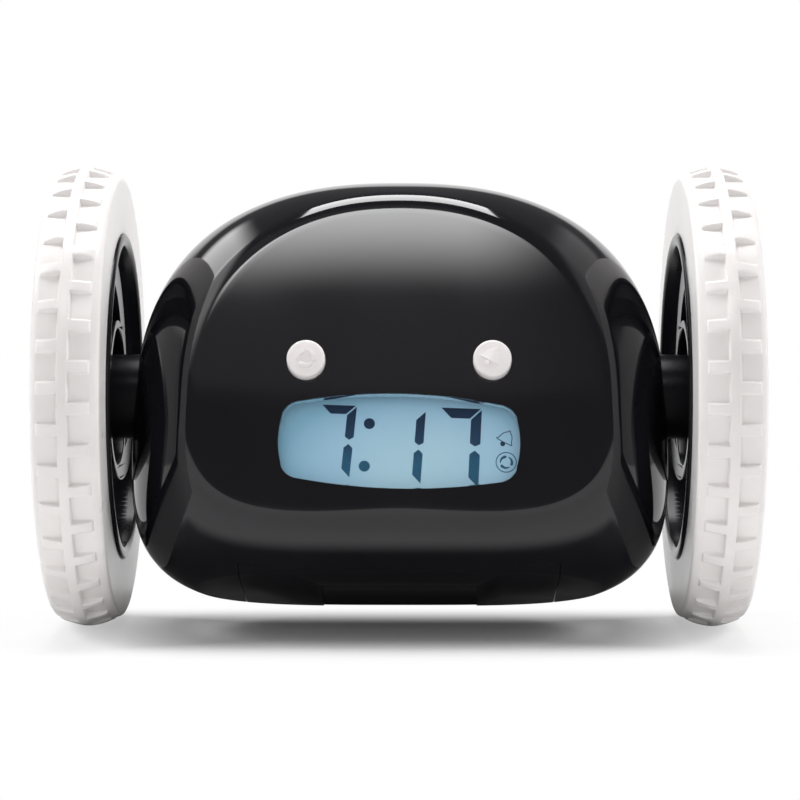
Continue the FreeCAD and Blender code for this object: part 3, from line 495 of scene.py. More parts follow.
class PodForm:
    """The pod's outer surface, its solids, and the true normals of the smooth surface."""

    def __init__(self):
        s = sizes()
        self.skin = pod_mesh("skin", 0.0, s.face_front, s.face_dome, s.face_edge, AROUND, FINE)
        self.tree = BVHTree.FromPolygons([v.co for v in self.skin.vertices],
                                         [p.vertices for p in self.skin.polygons])

    def solid(self):
        """The whole pod, with its base cut flat."""
        return cut_flat(self.skin.copy(), -sizes().base_drop)

    def hollow(self, wall):
        """The pod's skin with a wall of one thickness."""
        s = sizes()
        inner = cut_flat(pod_mesh("inner", wall, s.face_inside, 0.0, 0.0, INNER_AROUND, COARSE),
                         -s.base_drop + wall)
        inner.flip_normals()
        return joined("hollow", [self.solid(), inner])

    def polish(self, mesh):
        """Give every face on the smooth surface the surface's own normals."""
        mesh.shade_smooth()
        mesh.set_sharp_from_angle(angle=math.radians(30))
        normals = [tuple(corner.vector) for corner in mesh.corner_normals]
        for face in mesh.polygons:
            _, normal, _, gap = self.tree.find_nearest(face.center)
            if gap > SKIN_REACH or normal.dot(face.normal) < SKIN_AGREEMENT:
                continue
            for loop in face.loop_indices:
                normals[loop] = self.normal_at(mesh.vertices[mesh.loops[loop].vertex_index].co)
        mesh.normals_split_custom_set(normals)
        return mesh

    def normal_at(self, point):
        """The smooth surface's normal nearest to a point."""
        spot, _, index, _ = self.tree.find_nearest(point)
        total = Vector()
        for number in self.skin.polygons[index].vertices:
            vertex = self.skin.vertices[number]
            total += vertex.normal / max((vertex.co - spot).length, 1e-4) ** 2
        return tuple(total.normalized())


# ---------------------------------------------------------------- materials

def feed(tree, inputs, values):
    """Give a node's inputs their values; a socket as a value is linked."""
    for key, value in values.items():
        if isinstance(value, bpy.types.NodeSocket):
            tree.links.new(value, inputs[key])
        else:
            inputs[key].default_value = value


def add(tree, kind, values=None, **settings):
    """A node with its settings and the values of its inputs."""
    node = tree.nodes.new(kind)
    for key, value in settings.items():
        setattr(node, key, value)
    feed(tree, node.inputs, values or {})
    return node


def maths(tree, operation, *values, **settings):
    """The result of one Math node."""
    return add(tree, "ShaderNodeMath", dict(enumerate(values)), operation=operation,
               **settings).outputs[0]


def fade(tree, value, start, end, shown=(0.0, 1.0), shape="SMOOTHSTEP"):
    """A value's passage from start to end, shown as a passage between two numbers."""
    return add(tree, "ShaderNodeMapRange",
               {"Value": value, "From Min": start, "From Max": end, "To Min": shown[0],
                "To Max": shown[1]}, interpolation_type=shape).outputs[0]


def noise(tree, spot, scale, detail):
    """A cloudy value."""
    return add(tree, "ShaderNodeTexNoise",
               {"Vector": spot, "Scale": scale, "Detail": detail}).outputs[0]


def ramp(tree, value, stops):
    """A colour ramp over a value."""
    node = add(tree, "ShaderNodeValToRGB", {"Fac": value})
    points = node.color_ramp.elements
    while len(points) < len(stops):
        points.new(0.5)
    for point, (position, shade) in zip(points, stops):
        point.position = position
        point.color = (*shade, 1.0)
    return node.outputs[0]


def tinted(shade, *factors):
    """A colour with its channels scaled, by one factor or by one each."""
    return tuple(min(1.0, c * factors[i % len(factors)]) for i, c in enumerate(shade))


def handling_marks(group, spot, given):
    """Faint handling marks: a slow change of roughness and a few specks of dust."""
    cloud = noise(group, spot, given["Scale"], 4.0)
    specks = add(group, "ShaderNodeTexVoronoi", {"Vector": spot, "Scale": given["Speck Scale"]})
    near = fade(group, specks.outputs["Distance"], 0.035, 0.075, (1.0, 0.0), "LINEAR")
    chosen = add(group, "ShaderNodeSeparateColor", {0: specks.outputs["Color"]}).outputs[0]
    return {"Roughness": maths(group, "MULTIPLY", cloud, given["Amount"]), "Cloud": cloud,
            "Specks": maths(group, "MULTIPLY", near, maths(group, "GREATER_THAN", chosen, 0.90))}


def moulded_grain(group, spot, given):
    """Fine moulded grain: a height, and a slow cloud for colour."""
    return {"Height": noise(group, spot, given["Grain Scale"], 3.0),
            "Cloud": noise(group, spot, given["Cloud Scale"], 5.0)}


GROUPS = {
    handling_marks: {"Scale": 60.0, "Amount": 0.05, "Speck Scale": 900.0},
    moulded_grain: {"Grain Scale": 6000.0, "Cloud Scale": 90.0},
}


def surface(tree, build, **values):
    """The outputs of a shader node group, built once and placed with its own values."""
    group = bpy.data.node_groups.get(build.__name__)
    if not group:
        group = bpy.data.node_groups.new(build.__name__, "ShaderNodeTree")
        for label, default in GROUPS[build].items():
            group.interface.new_socket(label, in_out="INPUT",
                                       socket_type="NodeSocketFloat").default_value = default
        given = add(group, "NodeGroupInput").outputs
        spot = add(group, "ShaderNodeTexCoord").outputs["Object"]
        results = build(group, spot, given)
        for label in results:
            group.interface.new_socket(label, in_out="OUTPUT", socket_type="NodeSocketFloat")
        add(group, "NodeGroupOutput", results)
    values = {label.replace("_", " "): value for label, value in values.items()}
    return add(tree, "ShaderNodeGroup", values, node_tree=group).outputs


def made(name, build, *values):
    """A material, built once by its own function."""
    if name in bpy.data.materials:
        return bpy.data.materials[name]
    material = bpy.data.materials.new(name)
    material.use_nodes = True
    tree = material.node_tree
    build(tree, tree.nodes["Principled BSDF"], *values)
    return material


def shaded(tree, value, base, darker, lighter):
    """A colour that changes a little with a cloud."""
    return ramp(tree, value, [(0.35, tinted(base, darker)), (0.65, tinted(base, lighter))])


def relief(tree, height, strength, distance):
    """A fine bump."""
    return add(tree, "ShaderNodeBump",
               {"Height": height, "Strength": strength, "Distance": distance}).outputs[0]


def gloss(tree, shader, base, roughness=0.07, marks=0.05, shine=0.5):
    """Gloss moulded plastic with faint smudges and dust."""
    wear = surface(tree, handling_marks, Amount=marks)
    dust = add(tree, "ShaderNodeMix",
               {"Factor": maths(tree, "MULTIPLY", wear["Specks"], 0.8),
                "A": shaded(tree, wear["Cloud"], base, 0.9, 1.1), "B": (0.02, 0.02, 0.02, 1.0)},
               data_type="RGBA")
    rough = maths(tree, "ADD", wear["Roughness"], roughness - marks / 2)
    feed(tree, shader.inputs, {
        "Base Color": dust.outputs["Result"], "Specular IOR Level": shine,
        "Roughness": maths(tree, "MULTIPLY_ADD", wear["Specks"], 0.3, rough),
        "Normal": relief(tree, wear["Cloud"], 0.02, 0.0002)})


def moulded(tree, shader, base, roughness=0.5, bump=0.00002, cloud=0.05, grain=6000.0):
    """Matt or satin moulded plastic or rubber with a fine grain."""
    skin = surface(tree, moulded_grain, Grain_Scale=grain)
    feed(tree, shader.inputs, {
        "Base Color": shaded(tree, skin["Cloud"], base, 1 - cloud, 1 + cloud),
        "Roughness": maths(tree, "MULTIPLY_ADD", skin["Cloud"], 0.12, roughness - 0.06),
        "Normal": relief(tree, skin["Height"], 0.5, bump)})


def metal(tree, shader, base, roughness=0.28):
    """Turned or drawn metal with fine streaks."""
    skin = surface(tree, moulded_grain, Grain_Scale=2500.0)
    feed(tree, shader.inputs, {
        "Base Color": shaded(tree, skin["Cloud"], base, 0.85, 1.1), "Metallic": 1.0,
        "Roughness": maths(tree, "MULTIPLY_ADD", skin["Height"], 0.2, roughness - 0.1)})


def clear_plastic(tree, shader):
    """Clear plastic of the display window."""
    wear = surface(tree, handling_marks, Amount=0.02)
    tint = ramp(tree, wear["Cloud"], [(0.3, (0.94, 0.97, 1.0)), (0.7, (0.98, 0.99, 1.0))])
    feed(tree, shader.inputs, {"Transmission Weight": 1.0, "IOR": 1.2, "Base Color": tint,
                               "Roughness": wear["Roughness"]})


def pod_position(tree):
    """Object coordinates in the pod's own frame, in metres about the axle."""
    spot = add(tree, "ShaderNodeTexCoord").outputs["Object"]
    lower = add(tree, "ShaderNodeMapping", {"Vector": spot, "Location": (0, 0, -AXLE_HEIGHT)})
    upright = add(tree, "ShaderNodeMapping",
                  {"Vector": lower.outputs[0], "Rotation": (LEAN, 0.0, 0.0)})
    return add(tree, "ShaderNodeSeparateXYZ", {0: upright.outputs[0]}).outputs


def share_of(tree, value, start, span, **settings):
    """How far a value has come from a start, as a share of a span."""
    return maths(tree, "DIVIDE", maths(tree, "SUBTRACT", value, start), span, **settings)


def screen(tree, shader, tone, roughness):
    """The dull surface of the display's ground and segments."""
    cloud = surface(tree, moulded_grain)["Cloud"]
    feed(tree, shader.inputs, {
        "Base Color": tone, "Specular IOR Level": 0.05,
        "Roughness": maths(tree, "MULTIPLY_ADD", cloud, 0.1, roughness)})


def lit_display(tree, shader, base):
    """The display's ground with painted glow and painted shade: lighter in the middle and darker
    towards its edge, where the bezel's shade falls.
    """
    x, _, z = pod_position(tree)
    across = share_of(tree, x, 0.004, 0.026)
    up = share_of(tree, z, sizes().window_height * MM - 0.003, 0.014)
    radius = maths(tree, "MULTIPLY_ADD", across, across, maths(tree, "MULTIPLY", up, up))
    # Painted shade: the ramp darkens the ground towards its edge, where the bezel shades it.
    tone = ramp(tree, radius, [(0.0, tinted(base, 1.22, 1.14, 1.04)), (0.45, tuple(base)),
                               (1.0, tinted(base, 0.66, 0.80, 0.84))])
    # Painted glow: the ground also glows a little, so that it stays bright behind the window.
    feed(tree, shader.inputs, {"Emission Color": tone, "Emission Strength": 0.22})
    screen(tree, shader, tone, 0.3)


def dark_segments(tree, shader, base):
    """The display's dark segments, bluer above and greener below."""
    _, _, z = pod_position(tree)
    up = share_of(tree, z, sizes().window_height * MM - 0.008, 0.016, use_clamp=True)
    tone = ramp(tree, up, [(0.3, tinted(base, 5.0, 6.0, 3.4)), (0.5, tinted(base, 4.0, 3.0, 2.0)),
                           (0.95, tuple(base))])
    screen(tree, shader, tone, 0.35)


def finish_of(slot):
    """The material of each slot of the record."""
    c = colours()
    return made(*{
        "casing": ("gloss_casing", gloss, c.casing),
        "dark_buttons": ("gloss_casing", gloss, c.casing),
        "window": ("clear_window", clear_plastic),
        "display": ("lit_display", lit_display, c.display),
        "backlight": ("light_guide", moulded, (0.72, 0.78, 0.84), 0.35),
        "buttons": ("button_plastic", moulded, c.button, 0.38, 0.000008, 0.02),
        "tyre": ("tyre_rubber", moulded, c.rubber, 0.3, 0.00002, 0.03, 3500.0),
        "hub": ("hub_plastic", gloss, c.hub, 0.2, 0.08, 0.12),
        "inner_plastic": ("boss_plastic", gloss, c.hub, 0.3, 0.1, 0.12),
        "gear": ("gear_plastic", moulded, (0.78, 0.77, 0.73), 0.4),
        "steel": ("screw_steel", metal, c.steel),
        "bronze": ("bush_bronze", metal, (0.55, 0.34, 0.15), 0.35),
        "motor_can": ("motor_can", metal, (0.62, 0.62, 0.63), 0.3),
        "cell": ("cell_sleeve", gloss, (0.03, 0.16, 0.07), 0.25),
        "circuit_board": ("board_laminate", moulded, c.board, 0.4),
        "switch": ("switch_plastic", moulded, (0.03, 0.03, 0.034), 0.45),
        "sounder": ("speaker_paper", moulded, (0.05, 0.05, 0.05), 0.7),
    }[slot])


# ---------------------------------------------------------------- casing

FIT_GAP = 0.14
# How far the cutters reach through the face, the back, the top and to the sides.
FACE_CUT, BACK_CUT, TOP_CUT, SIDE_CUT = (-40, -20), (30, 45), (30, 60), (30, 60)
FAR = 120
# Screw wells as (x, z, depth of the seat), and a well's wall about its seat as (depth, radius).
SCREW_PLACES = tuple((side * x, z, seat) for x, z, seat in ((22.0, 25.5, 21.5), (29.0, -17.5, 31.1))
                     for side in (-1, 1))
WELL_RADIUS = 2.3
WELL_WALL = ((-0.6, 1.2), (-0.6, 3.0), (2.6, 3.0), (2.6, 2.34), (0.0, 2.34), (0.0, 1.2))
SET_BUTTON_XS = (-13.5, -4.5, 4.5, 13.5)
SET_BUTTON_HEIGHT = -14.0
SET_BUTTON_RADIUS = 2.4
SPEAKER_HEIGHT = 6.0
GRILLE_HOLE = 0.9
GRILLE_PITCH = 3.2
SNOOZE_HALF = (17.0, 5.0)
SNOOZE_MIDDLE = 7.0
SNOOZE_STAND = 0.95
SNOOZE_BEVEL = 0.45
DOOR_HALF, DOOR_FRONT, DOOR_BACK = 29.9, -16.0, 27.0
DOOR_DEPTHS = (-60, -26)
DOOR_WALL = 1.7
RECESS = {"half": 15.0, "depth": 1.0, "radius": 60.0, "place": 8.0}
WINDOW_TILT = -1.2
WINDOW_BACK = -26.1
WINDOW_ROOM = 1.4
WINDOW_BOW = 1.4
WINDOW_ARCH = 2.1


def window_outline(grow):
    """A barrel shape: arched above and below, bowed at the ends, with round corners."""
    s = sizes()
    half, tall = s.window_half_width + grow, s.window_half_height + grow
    corner = np.array([half - WINDOW_BOW, tall - WINDOW_ARCH])

    def bow(end, reach, share):
        """A shallow arc's distance out, at a share of its half length."""
        return end + (reach - end) * (1 - share ** 2)

    top_in = unit(np.array([-1.0, 2 * (tall - corner[1]) / corner[0]]))
    side_in = unit(np.array([2 * (half - corner[0]) / corner[1], -1.0]))
    bend = math.acos(np.clip(-top_in @ side_in, -1, 1))
    cut = (s.window_corner + grow) * math.tan(bend / 2)
    start, end = corner + side_in * cut, corner + top_in * cut
    quarter = [(bow(corner[0], half, share), share * corner[1])
               for share in np.linspace(0.0, start[1] / corner[1], 8)[:-1]]
    quarter += [tuple(p) for p in round_corner(start, corner, end, 10)]
    quarter += [(share * corner[0], bow(corner[1], tall, share))
                for share in np.linspace(end[0] / corner[0], 0.0, 14)[1:]]
    upper = quarter + [(-x, z) for x, z in reversed(quarter[:-1])]
    lower = [(x, -z) for x, z in reversed(upper[1:-1])]
    return moved(upper + lower, 1.0, WINDOW_TILT, (0.0, s.window_height))


def snooze_plan(name, grow):
    """The block that outlines the snooze button, with round ends."""
    half_long, half_wide = SNOOZE_HALF
    right = [(half_long - half_wide + (half_wide + grow) * math.sin(t),
              SNOOZE_MIDDLE + (half_wide + grow) * math.cos(t))
             for t in (math.pi * i / 24 for i in range(25))]
    return upright_prism(name, right + [(-x, 2 * SNOOZE_MIDDLE - y) for x, y in right], *TOP_CUT)


def behind_seam(shift):
    """All the space behind the casing's seam."""
    s = sizes()
    space = block("behind_seam", (-FAR, s.seam_distance + shift, -FAR), (FAR, FAR + 20, FAR))
    return placed(space, Matrix.Rotation(math.radians(s.seam_lean), 4, "X"))


def door_plan(grow):
    """The block that outlines the battery door."""
    low, high = DOOR_DEPTHS
    return block("door_plan", (-DOOR_HALF - grow, DOOR_FRONT - grow, low),
                 (DOOR_HALF + grow, DOOR_BACK + grow, high))


def grille_cutters():
    """Rods for the grille: one in the middle and rings of 6, 12 and 18."""
    points = [(0.0, 0.0)]
    for ring in (1, 2, 3):
        points += disc(ring * GRILLE_PITCH, count=6 * ring)
    rod = prism("grille_rod", disc(GRILLE_HOLE, count=20), *BACK_CUT)
    return joined("grille_rods", [shifted(rod.copy(), x, 0, z + SPEAKER_HEIGHT) for x, z in points])


class CLOCK_OT_casing(bpy.types.Operator):
    """Make the casing's front and back, the battery door and the snooze button"""

    bl_idname = "clock.casing"
    bl_label = "Casing"

    def execute(self, context):
        form = PodForm()
        hollow = form.hollow(sizes().wall)
        self.front(form, hollow)
        self.rear(form, hollow)
        self.door(form)
        self.snooze(form)
        return {"FINISHED"}

    def front(self, form, hollow):
        s = sizes()
        start, end = SIDE_CUT
        boss = s.boss_radius + FIT_GAP
        cutters = [prism("window_hole", window_outline(FIT_GAP), *FACE_CUT), door_plan(FIT_GAP),
                   behind_seam(-s.seam_gap / 2), snooze_plan("snooze_hole", FIT_GAP)]
        for side in (-1, 1):
            eye = disc(s.eye_radius + FIT_GAP, (side * s.eye_distance, s.eye_height))
            cutters += [prism("eye_hole", eye, *FACE_CUT),
                        lathe("boss_hole", [(side * start, 0), (side * start, boss),
                                            (side * end, boss), (side * end, 0)])]
        blank = combined("front_blank", hollow.copy(), "DIFFERENCE", *cutters)
        room = prism("window_room", window_outline(WINDOW_ROOM), WINDOW_BACK - 0.1, FACE_CUT[1])
        mesh = form.polish(combined("front_casing", blank, "DIFFERENCE", room))
        piece("front_casing", placed(mesh, POD), "casing", "casing", "front_shell")

    def rear(self, form, hollow):
        back = combined("rear_blank", hollow.copy(), "INTERSECT", behind_seam(sizes().seam_gap / 2))
        cutters = [grille_cutters()]
        cutters += [prism("screw_well", disc(WELL_RADIUS, (x, z), 48), seat, BACK_CUT[1])
                    for x, z, seat in SCREW_PLACES]
        cutters += [prism("set_hole", disc(SET_BUTTON_RADIUS + FIT_GAP, (x, SET_BUTTON_HEIGHT), 64),
                          *BACK_CUT) for x in SET_BUTTON_XS]
        mesh = form.polish(combined("rear_casing", back, "DIFFERENCE", *cutters))
        piece("rear_casing", placed(mesh, POD), "casing", "casing", "rear_shell")
        wells = [shifted(lathe("well_wall", [(seat + depth, r) for depth, r in WELL_WALL], 48, "y"),
                         x, 0, z) for x, z, seat in SCREW_PLACES]
        piece("screw_wells", placed(joined("screw_wells", wells), POD), "casing", "casing",
              crease=32)

    def door(self, form):
        blank = combined("door_blank", form.hollow(DOOR_WALL), "INTERSECT", door_plan(0.0))
        half, radius = RECESS["half"], RECESS["radius"]
        recess = lathe("recess", [(-half, 0), (-half, radius), (half, radius), (half, 0)], 360)
        shifted(recess, 0, RECESS["place"], -sizes().base_drop - radius + RECESS["depth"])
        mesh = form.polish(combined("base_door", blank, "DIFFERENCE", recess))
        piece("base_door", placed(mesh, POD), "battery_cover", "casing", "battery_door")

    def snooze(self, form):
        blank = combined("snooze_blank", form.solid(), "INTERSECT", snooze_plan("snooze_plan", 0.0))
        mesh = bevelled("snooze_cap", shifted(blank, 0, 0, SNOOZE_STAND), SNOOZE_BEVEL, 3)
        piece("snooze_cap", placed(mesh, POD), "snooze_key", "dark_buttons", "snooze_button",
              crease=50)


# ---------------------------------------------------------------- face

BARS = {"7": "abc", "1": "bc"}
BAR_GAP = 0.2
# Each digit: its figure, its middle, width, height and own slant in degrees.
DIGITS = (("7", (-11.78, -15.6), 6.6, 13.9, 3.6), ("1", (1.13, -16.65), 6.6, 14.1, 2.2),
          ("7", (11.07, -16.85), 7.7, 15.2, 0.85))
ROW_TILT = -2.0
COLON = ((-5.5, -12.2), (-6.4, -20.3))
COLON_RADIUS = 1.03
# A bell: its foot's middle, width and tilt, and its clapper's place in bell widths and radius.
BELL_SIGN = ((19.35, -15.66), 3.2, -28.0, (-0.02, -0.14), 0.46)
BELL_MARK = ((-0.62, -0.55), 3.9, -29.0, (-0.04, -0.13), 0.5)
BELL_HALF = ((-0.5, 0.0), (-0.47, 0.05), (-0.41, 0.11), (-0.37, 0.2), (-0.34, 0.32), (-0.29, 0.44),
             (-0.21, 0.54), (-0.11, 0.61), (-0.07, 0.64), (-0.06, 0.7), (-0.03, 0.73))
# Three blades: the radius, width and span of each, and the first one's turn.
WHEEL_BLADES = (1.06, 0.56, 105.0, 85.0)
MARK_BLADES = (1.5, 1.15, 112.0, 95.0)
WHEEL_MIDDLE = (19.7, -19.55)
WHEEL_RADIUS = 1.95
RING_WIDTH = 0.17
LINE_WIDTH = 0.16
INK = (-24.13, -24.10)
EMBOSS = (-30.36, -29.8)
EMBOSS_BEVEL = 0.06
EYE_FRONT = -30.1
EYE_DISH = (0.06, 0.02)
EYE_EDGE = (0.55, 0.6)
EYE_FLANGE = (-24.95, -23.95, 1.2)
EYE_STEM = (-21.3, 1.2)


def segment_outline(name, width, height, slant):
    """One bar of a seven-bar digit as an outline about the digit's middle."""
    w, h, t, g = width / 2, height / 2, width / 4, BAR_GAP
    bars = {
        "a": [(g - w, h), (w - g, h), (w - t - g, h - t), (t + g - w, h - t)],
        "b": [(w, h - g), (w, 0.9), (w - t / 2, 2 * g), (w - t, 1.0), (w - t, h - t - g)],
        "c": [(w, g - h), (w, -1.2), (w - t / 2, -2 * g), (w - t, -1.1), (w - t, t + g - h)],
    }
    lean = math.tan(math.radians(slant))
    return [(x + z * lean, z) for x, z in bars[name]]


def bell(solid, foot, width, tilt, clapper, radius, depths):
    """A bell, solid or as a line with its lip, and its clapper."""
    outline = [*BELL_HALF, (0.0, 0.74), *((-x, z) for x, z in reversed(BELL_HALF))]
    lines = [moved(line, width, tilt, foot)
             for line in (outline, [(-0.5, 0.0), (0.0, -0.03), (0.5, 0.0)])]
    parts = ([prism("bell", lines[0], *depths)] if solid
             else [stroke("bell_line", line, LINE_WIDTH, depths) for line in lines])
    ball = disc(radius, moved([clapper], width, tilt, foot)[0], 32)
    return parts + [prism("clapper", ball, *depths)]


def blades(radius, width, span, first, middle, depths):
    """Three curved blades round a middle; each starts wide and ends in a point."""
    outer, inner = [], []
    for share in np.linspace(0.0, 1.0, 25):
        turn = math.radians(span * share)
        reach = width / 2 * math.sqrt(1 - share) * min(1.0, 0.25 + 6 * share)
        for side, row in ((1, outer), (-1, inner)):
            row.append(((radius + side * reach) * math.cos(turn),
                        (radius + side * reach) * math.sin(turn)))
    outline = outer + inner[-2::-1]
    return [prism("blade", moved(outline, 1.0, first - 120.0 * k, middle), *depths)
            for k in range(3)]


class CLOCK_OT_face(bpy.types.Operator):
    """Make the display window, the display with its digits, and the two mode buttons"""

    bl_idname = "clock.face"
    bl_label = "Face"

    def execute(self, context):
        self.window()
        self.display()
        for side, name in ((-1, "wheel_mode"), (1, "alarm_mode")):
            self.eye(side, f"{name}_button", f"{name}_key")
        return {"FINISHED"}

    def window(self):
        form = PodForm()
        plug = prism("window_plug", window_outline(0.0), FACE_CUT[0], WINDOW_BACK)
        mesh = form.polish(combined("clear_pane", form.solid(), "INTERSECT", plug))
        piece("clear_pane", placed(mesh, POD), "casing", "window", "display_window")

    def display(self):
        """The digits and the colon, and the small alarm and wheel signs beside them."""
        digits = [prism("segment", moved(segment_outline(bar, width, height, slant), 1.0, ROW_TILT,
                                         middle), *INK)
                  for figure, middle, width, height, slant in DIGITS for bar in BARS[figure]]
        digits += [prism("colon", disc(COLON_RADIUS, spot, 40), *INK) for spot in COLON]
        low, high, inside = *INK, WHEEL_RADIUS - RING_WIDTH
        ring = lathe("sign_ring", [(low, inside), (low, WHEEL_RADIUS), (high, WHEEL_RADIUS),
                                   (high, inside)], 64, "y")
        x, z = WHEEL_MIDDLE
        signs = bell(False, *BELL_SIGN, INK) + [shifted(ring, x, 0, z)]
        signs += blades(*WHEEL_BLADES, WHEEL_MIDDLE, INK)
        ink = made("dark_segments", dark_segments, colours().segment)
        for name, parts in (("display_digits", digits), ("display_signs", signs)):
            piece(name, placed(joined(name, parts), POD), "casing", "display", finish=ink)

    def eye(self, side, node, body):
        """A mode button, and the raised sign on it: a wheel's blades, or a bell."""
        s = sizes()
        r = s.eye_radius
        x, z = side * s.eye_distance, s.eye_height
        middle, dish = (EYE_FRONT + depth for depth in EYE_DISH)
        inset, depth = EYE_EDGE
        front, back, flange = EYE_FLANGE
        foot, stem = EYE_STEM
        edge = round_corner((dish, r - inset), (EYE_FRONT, r), (EYE_FRONT + depth, r), 8)
        cap = lathe(node, [(middle, 0.0), (dish, r * 0.5), (dish, r - inset),
                           *(tuple(p) for p in edge[1:]), (front, r), (front, r + flange),
                           (back, r + flange), (back, stem), (foot, stem), (foot, 0.0)], 128, "y")
        piece(f"{node}_cap", placed(shifted(cap, x, 0, z), POD), body, "buttons", node, crease=40)
        if side < 0:
            parts = blades(*MARK_BLADES, (x, z), EMBOSS)
        else:
            (aside, up), *rest = BELL_MARK
            parts = bell(True, (x + aside, z + up), *rest, EMBOSS)
        mark = bevelled("mark", joined("mark", parts), EMBOSS_BEVEL, 2)
        piece(f"{node}_mark", placed(mark, POD), body, "buttons", crease=50)


# ---------------------------------------------------------------- tyres

TREAD_CROWN = 44.5
TREAD_MIDDLE = 60.3
CROWN_BOW = 20.0
RIB_HALF = 1.05
LUG_REACH = 4.9
LUG_COUNT = 36
LUG_WIDTH = 2.3
EDGE_SOFTNESS = 0.3
EDGE_STEPS = (-0.2, -0.12, -0.04, 0.04, 0.12, 0.2)
# The moulded ring under the rib and the lugs, and its two sides, as (x, radius).
TYRE_GROUND = ((53.8, 41.9), (53.84, 42.15), (53.97, 42.4), (54.18, 42.58), (54.47, 42.72),
               (54.85, 42.86), (55.4, 43.0), (57.0, 43.12), (59.3, 43.2), (61.3, 43.2),
               (63.6, 43.12), (65.2, 42.98), (65.6, 42.82), (65.93, 42.58), (66.18, 42.25),
               (66.36, 41.8), (66.46, 41.2), (66.5, 40.5))
TYRE_SIDES = ((66.5, 39.0), (66.44, 37.6), (66.44, 35.0), (66.5, 33.8), (66.5, 32.9),
              (66.36, 32.3), (66.07, 31.9), (65.83, 31.65), (65.64, 31.6), (54.0, 31.6),
              (53.85, 31.7), (53.8, 31.95), (53.8, 33.5), (53.8, 36.5), (53.8, 39.5), (53.8, 41.2))


def band(value, high, soft):
    """1 up to a value, with a soft end beyond it."""
    share = np.clip((high + soft - value) / soft, 0.0, 1.0)
    return share * share * (3 - 2 * share)


def tread_radius(x, turn):
    """The tread's radius at one place: a crowned rib and two staggered rows of lugs."""
    pitch = 2 * math.pi / LUG_COUNT
    out = x - TREAD_MIDDLE
    ground = np.interp(x, *zip(*TYRE_GROUND))
    crown = TREAD_CROWN - out ** 2 / CROWN_BOW
    phase = 0.0 if out < 0 else 0.5
    around = np.abs((turn / pitch + phase + 0.5) % 1.0 - 0.5) * pitch * TREAD_CROWN
    rib = band(abs(out), RIB_HALF - EDGE_SOFTNESS / 2, EDGE_SOFTNESS)
    lug = (band(abs(out), LUG_REACH - EDGE_SOFTNESS, EDGE_SOFTNESS)
           * band(around, LUG_WIDTH / 2 - EDGE_SOFTNESS / 2, EDGE_SOFTNESS))
    return ground + (crown - ground) * np.maximum(rib, lug)


def tyre_sector():
    """One pitch of the tyre, from which the whole is repeated round the axle."""
    half_pitch = 180 / LUG_COUNT
    flank = math.degrees(LUG_WIDTH / 2 / TREAD_CROWN)
    turns = [share * half_pitch for share in (0.0, 0.15, 0.42, 0.5, 0.58, 0.85, 1.0)]
    turns += [place + step for place in (flank, half_pitch - flank) for step in EDGE_STEPS]
    turns = np.radians(sorted({side * turn for turn in turns for side in (-1, 1)}))
    outs = [0.0, 0.45, 1.9, 2.8, 3.7]
    outs += [edge + step for edge in (RIB_HALF, LUG_REACH - EDGE_SOFTNESS / 2)
             for step in EDGE_STEPS]
    shoulders = {x for x, _ in TYRE_GROUND if abs(x - TREAD_MIDDLE) > LUG_REACH + 0.1}
    xs = sorted({TREAD_MIDDLE + side * out for out in outs for side in (-1, 1)} | shoulders)
    profile = [(x, tread_radius(x, turns)) for x in xs] + list(TYRE_SIDES)
    count = len(turns)
    points = [(x, y, z) for x, r in profile for y, z in zip(r * np.cos(turns), r * np.sin(turns))]
    rows = [range(i * count, (i + 1) * count) for i in range(len(profile))]
    return new_mesh("tyre_sector", points, strip(rows + rows[:1], False))


def ring_tree():
    """Geometry nodes that repeat a piece round the X axis and weld the copies."""
    name = "repeat_round_axle"
    if name in bpy.data.node_groups:
        return bpy.data.node_groups[name]
    tree = bpy.data.node_groups.new(name, "GeometryNodeTree")
    for label, kind in (("Geometry", "Geometry"), ("Count", "Int"), ("Weld", "Float"),
                        ("Material", "Material")):
        tree.interface.new_socket(label, in_out="INPUT", socket_type=f"NodeSocket{kind}")
    tree.interface.new_socket("Geometry", in_out="OUTPUT", socket_type="NodeSocketGeometry")
    given = add(tree, "NodeGroupInput").outputs
    points = add(tree, "GeometryNodePoints", {"Count": given["Count"]}).outputs[0]
    number = add(tree, "GeometryNodeInputIndex").outputs[0]
    turn = maths(tree, "MULTIPLY", number, maths(tree, "DIVIDE", math.tau, given["Count"]))
    spin = add(tree, "ShaderNodeCombineXYZ", {"X": turn}).outputs[0]
    ring = add(tree, "GeometryNodeInstanceOnPoints",
               {"Points": points, "Instance": given["Geometry"], "Rotation": spin}).outputs[0]
    for kind, values in (("GeometryNodeRealizeInstances", {}),
                         ("GeometryNodeMergeByDistance", {"Distance": given["Weld"]}),
                         ("GeometryNodeSetMaterial", {"Material": given["Material"]})):
        ring = add(tree, kind, {"Geometry": ring, **values}).outputs[0]
    add(tree, "NodeGroupOutput", {"Geometry": ring})
    return tree


def mirrored(mesh, side):
    """A copy of a mesh on one side of the clock, at the height of the axle."""
    return placed(placed(mesh.copy(), Matrix.Diagonal((side, 1, 1, 1))), AXLE)


class CLOCK_OT_tyres(bpy.types.Operator):
    """Make both tyres: a moulded ring with a centre rib and two staggered rows of lugs"""

    bl_idname = "clock.tyres"
    bl_label = "Tyres"

    def execute(self, context):
        inputs = {"Count": LUG_COUNT, "Weld": 0.002, "Material": finish_of("tyre")}
        ring = modified("tyre", tyre_sector(), "NODES", inputs=inputs, node_group=ring_tree())
        for side, name in SIDES:
            piece(f"{name}_rubber_tyre", outward(mirrored(ring, side)), f"{name}_wheel", "tyre",
                  f"{name}_tyre", crease=60)
        return {"FINISHED"}


# ---------------------------------------------------------------- hubs

HUB = {"outside": 65.8, "land": 29.2, "seat": 31.58, "ring": 14.9, "cup": 13.3, "plate": 29.9,
       "blade_face": 54.9, "blade_back": 60.9, "blade_arc": 30.0, "blade_width": 6.0,
       "blade_bevel": 0.25, "blades": 3}
EASED_BY = 0.22
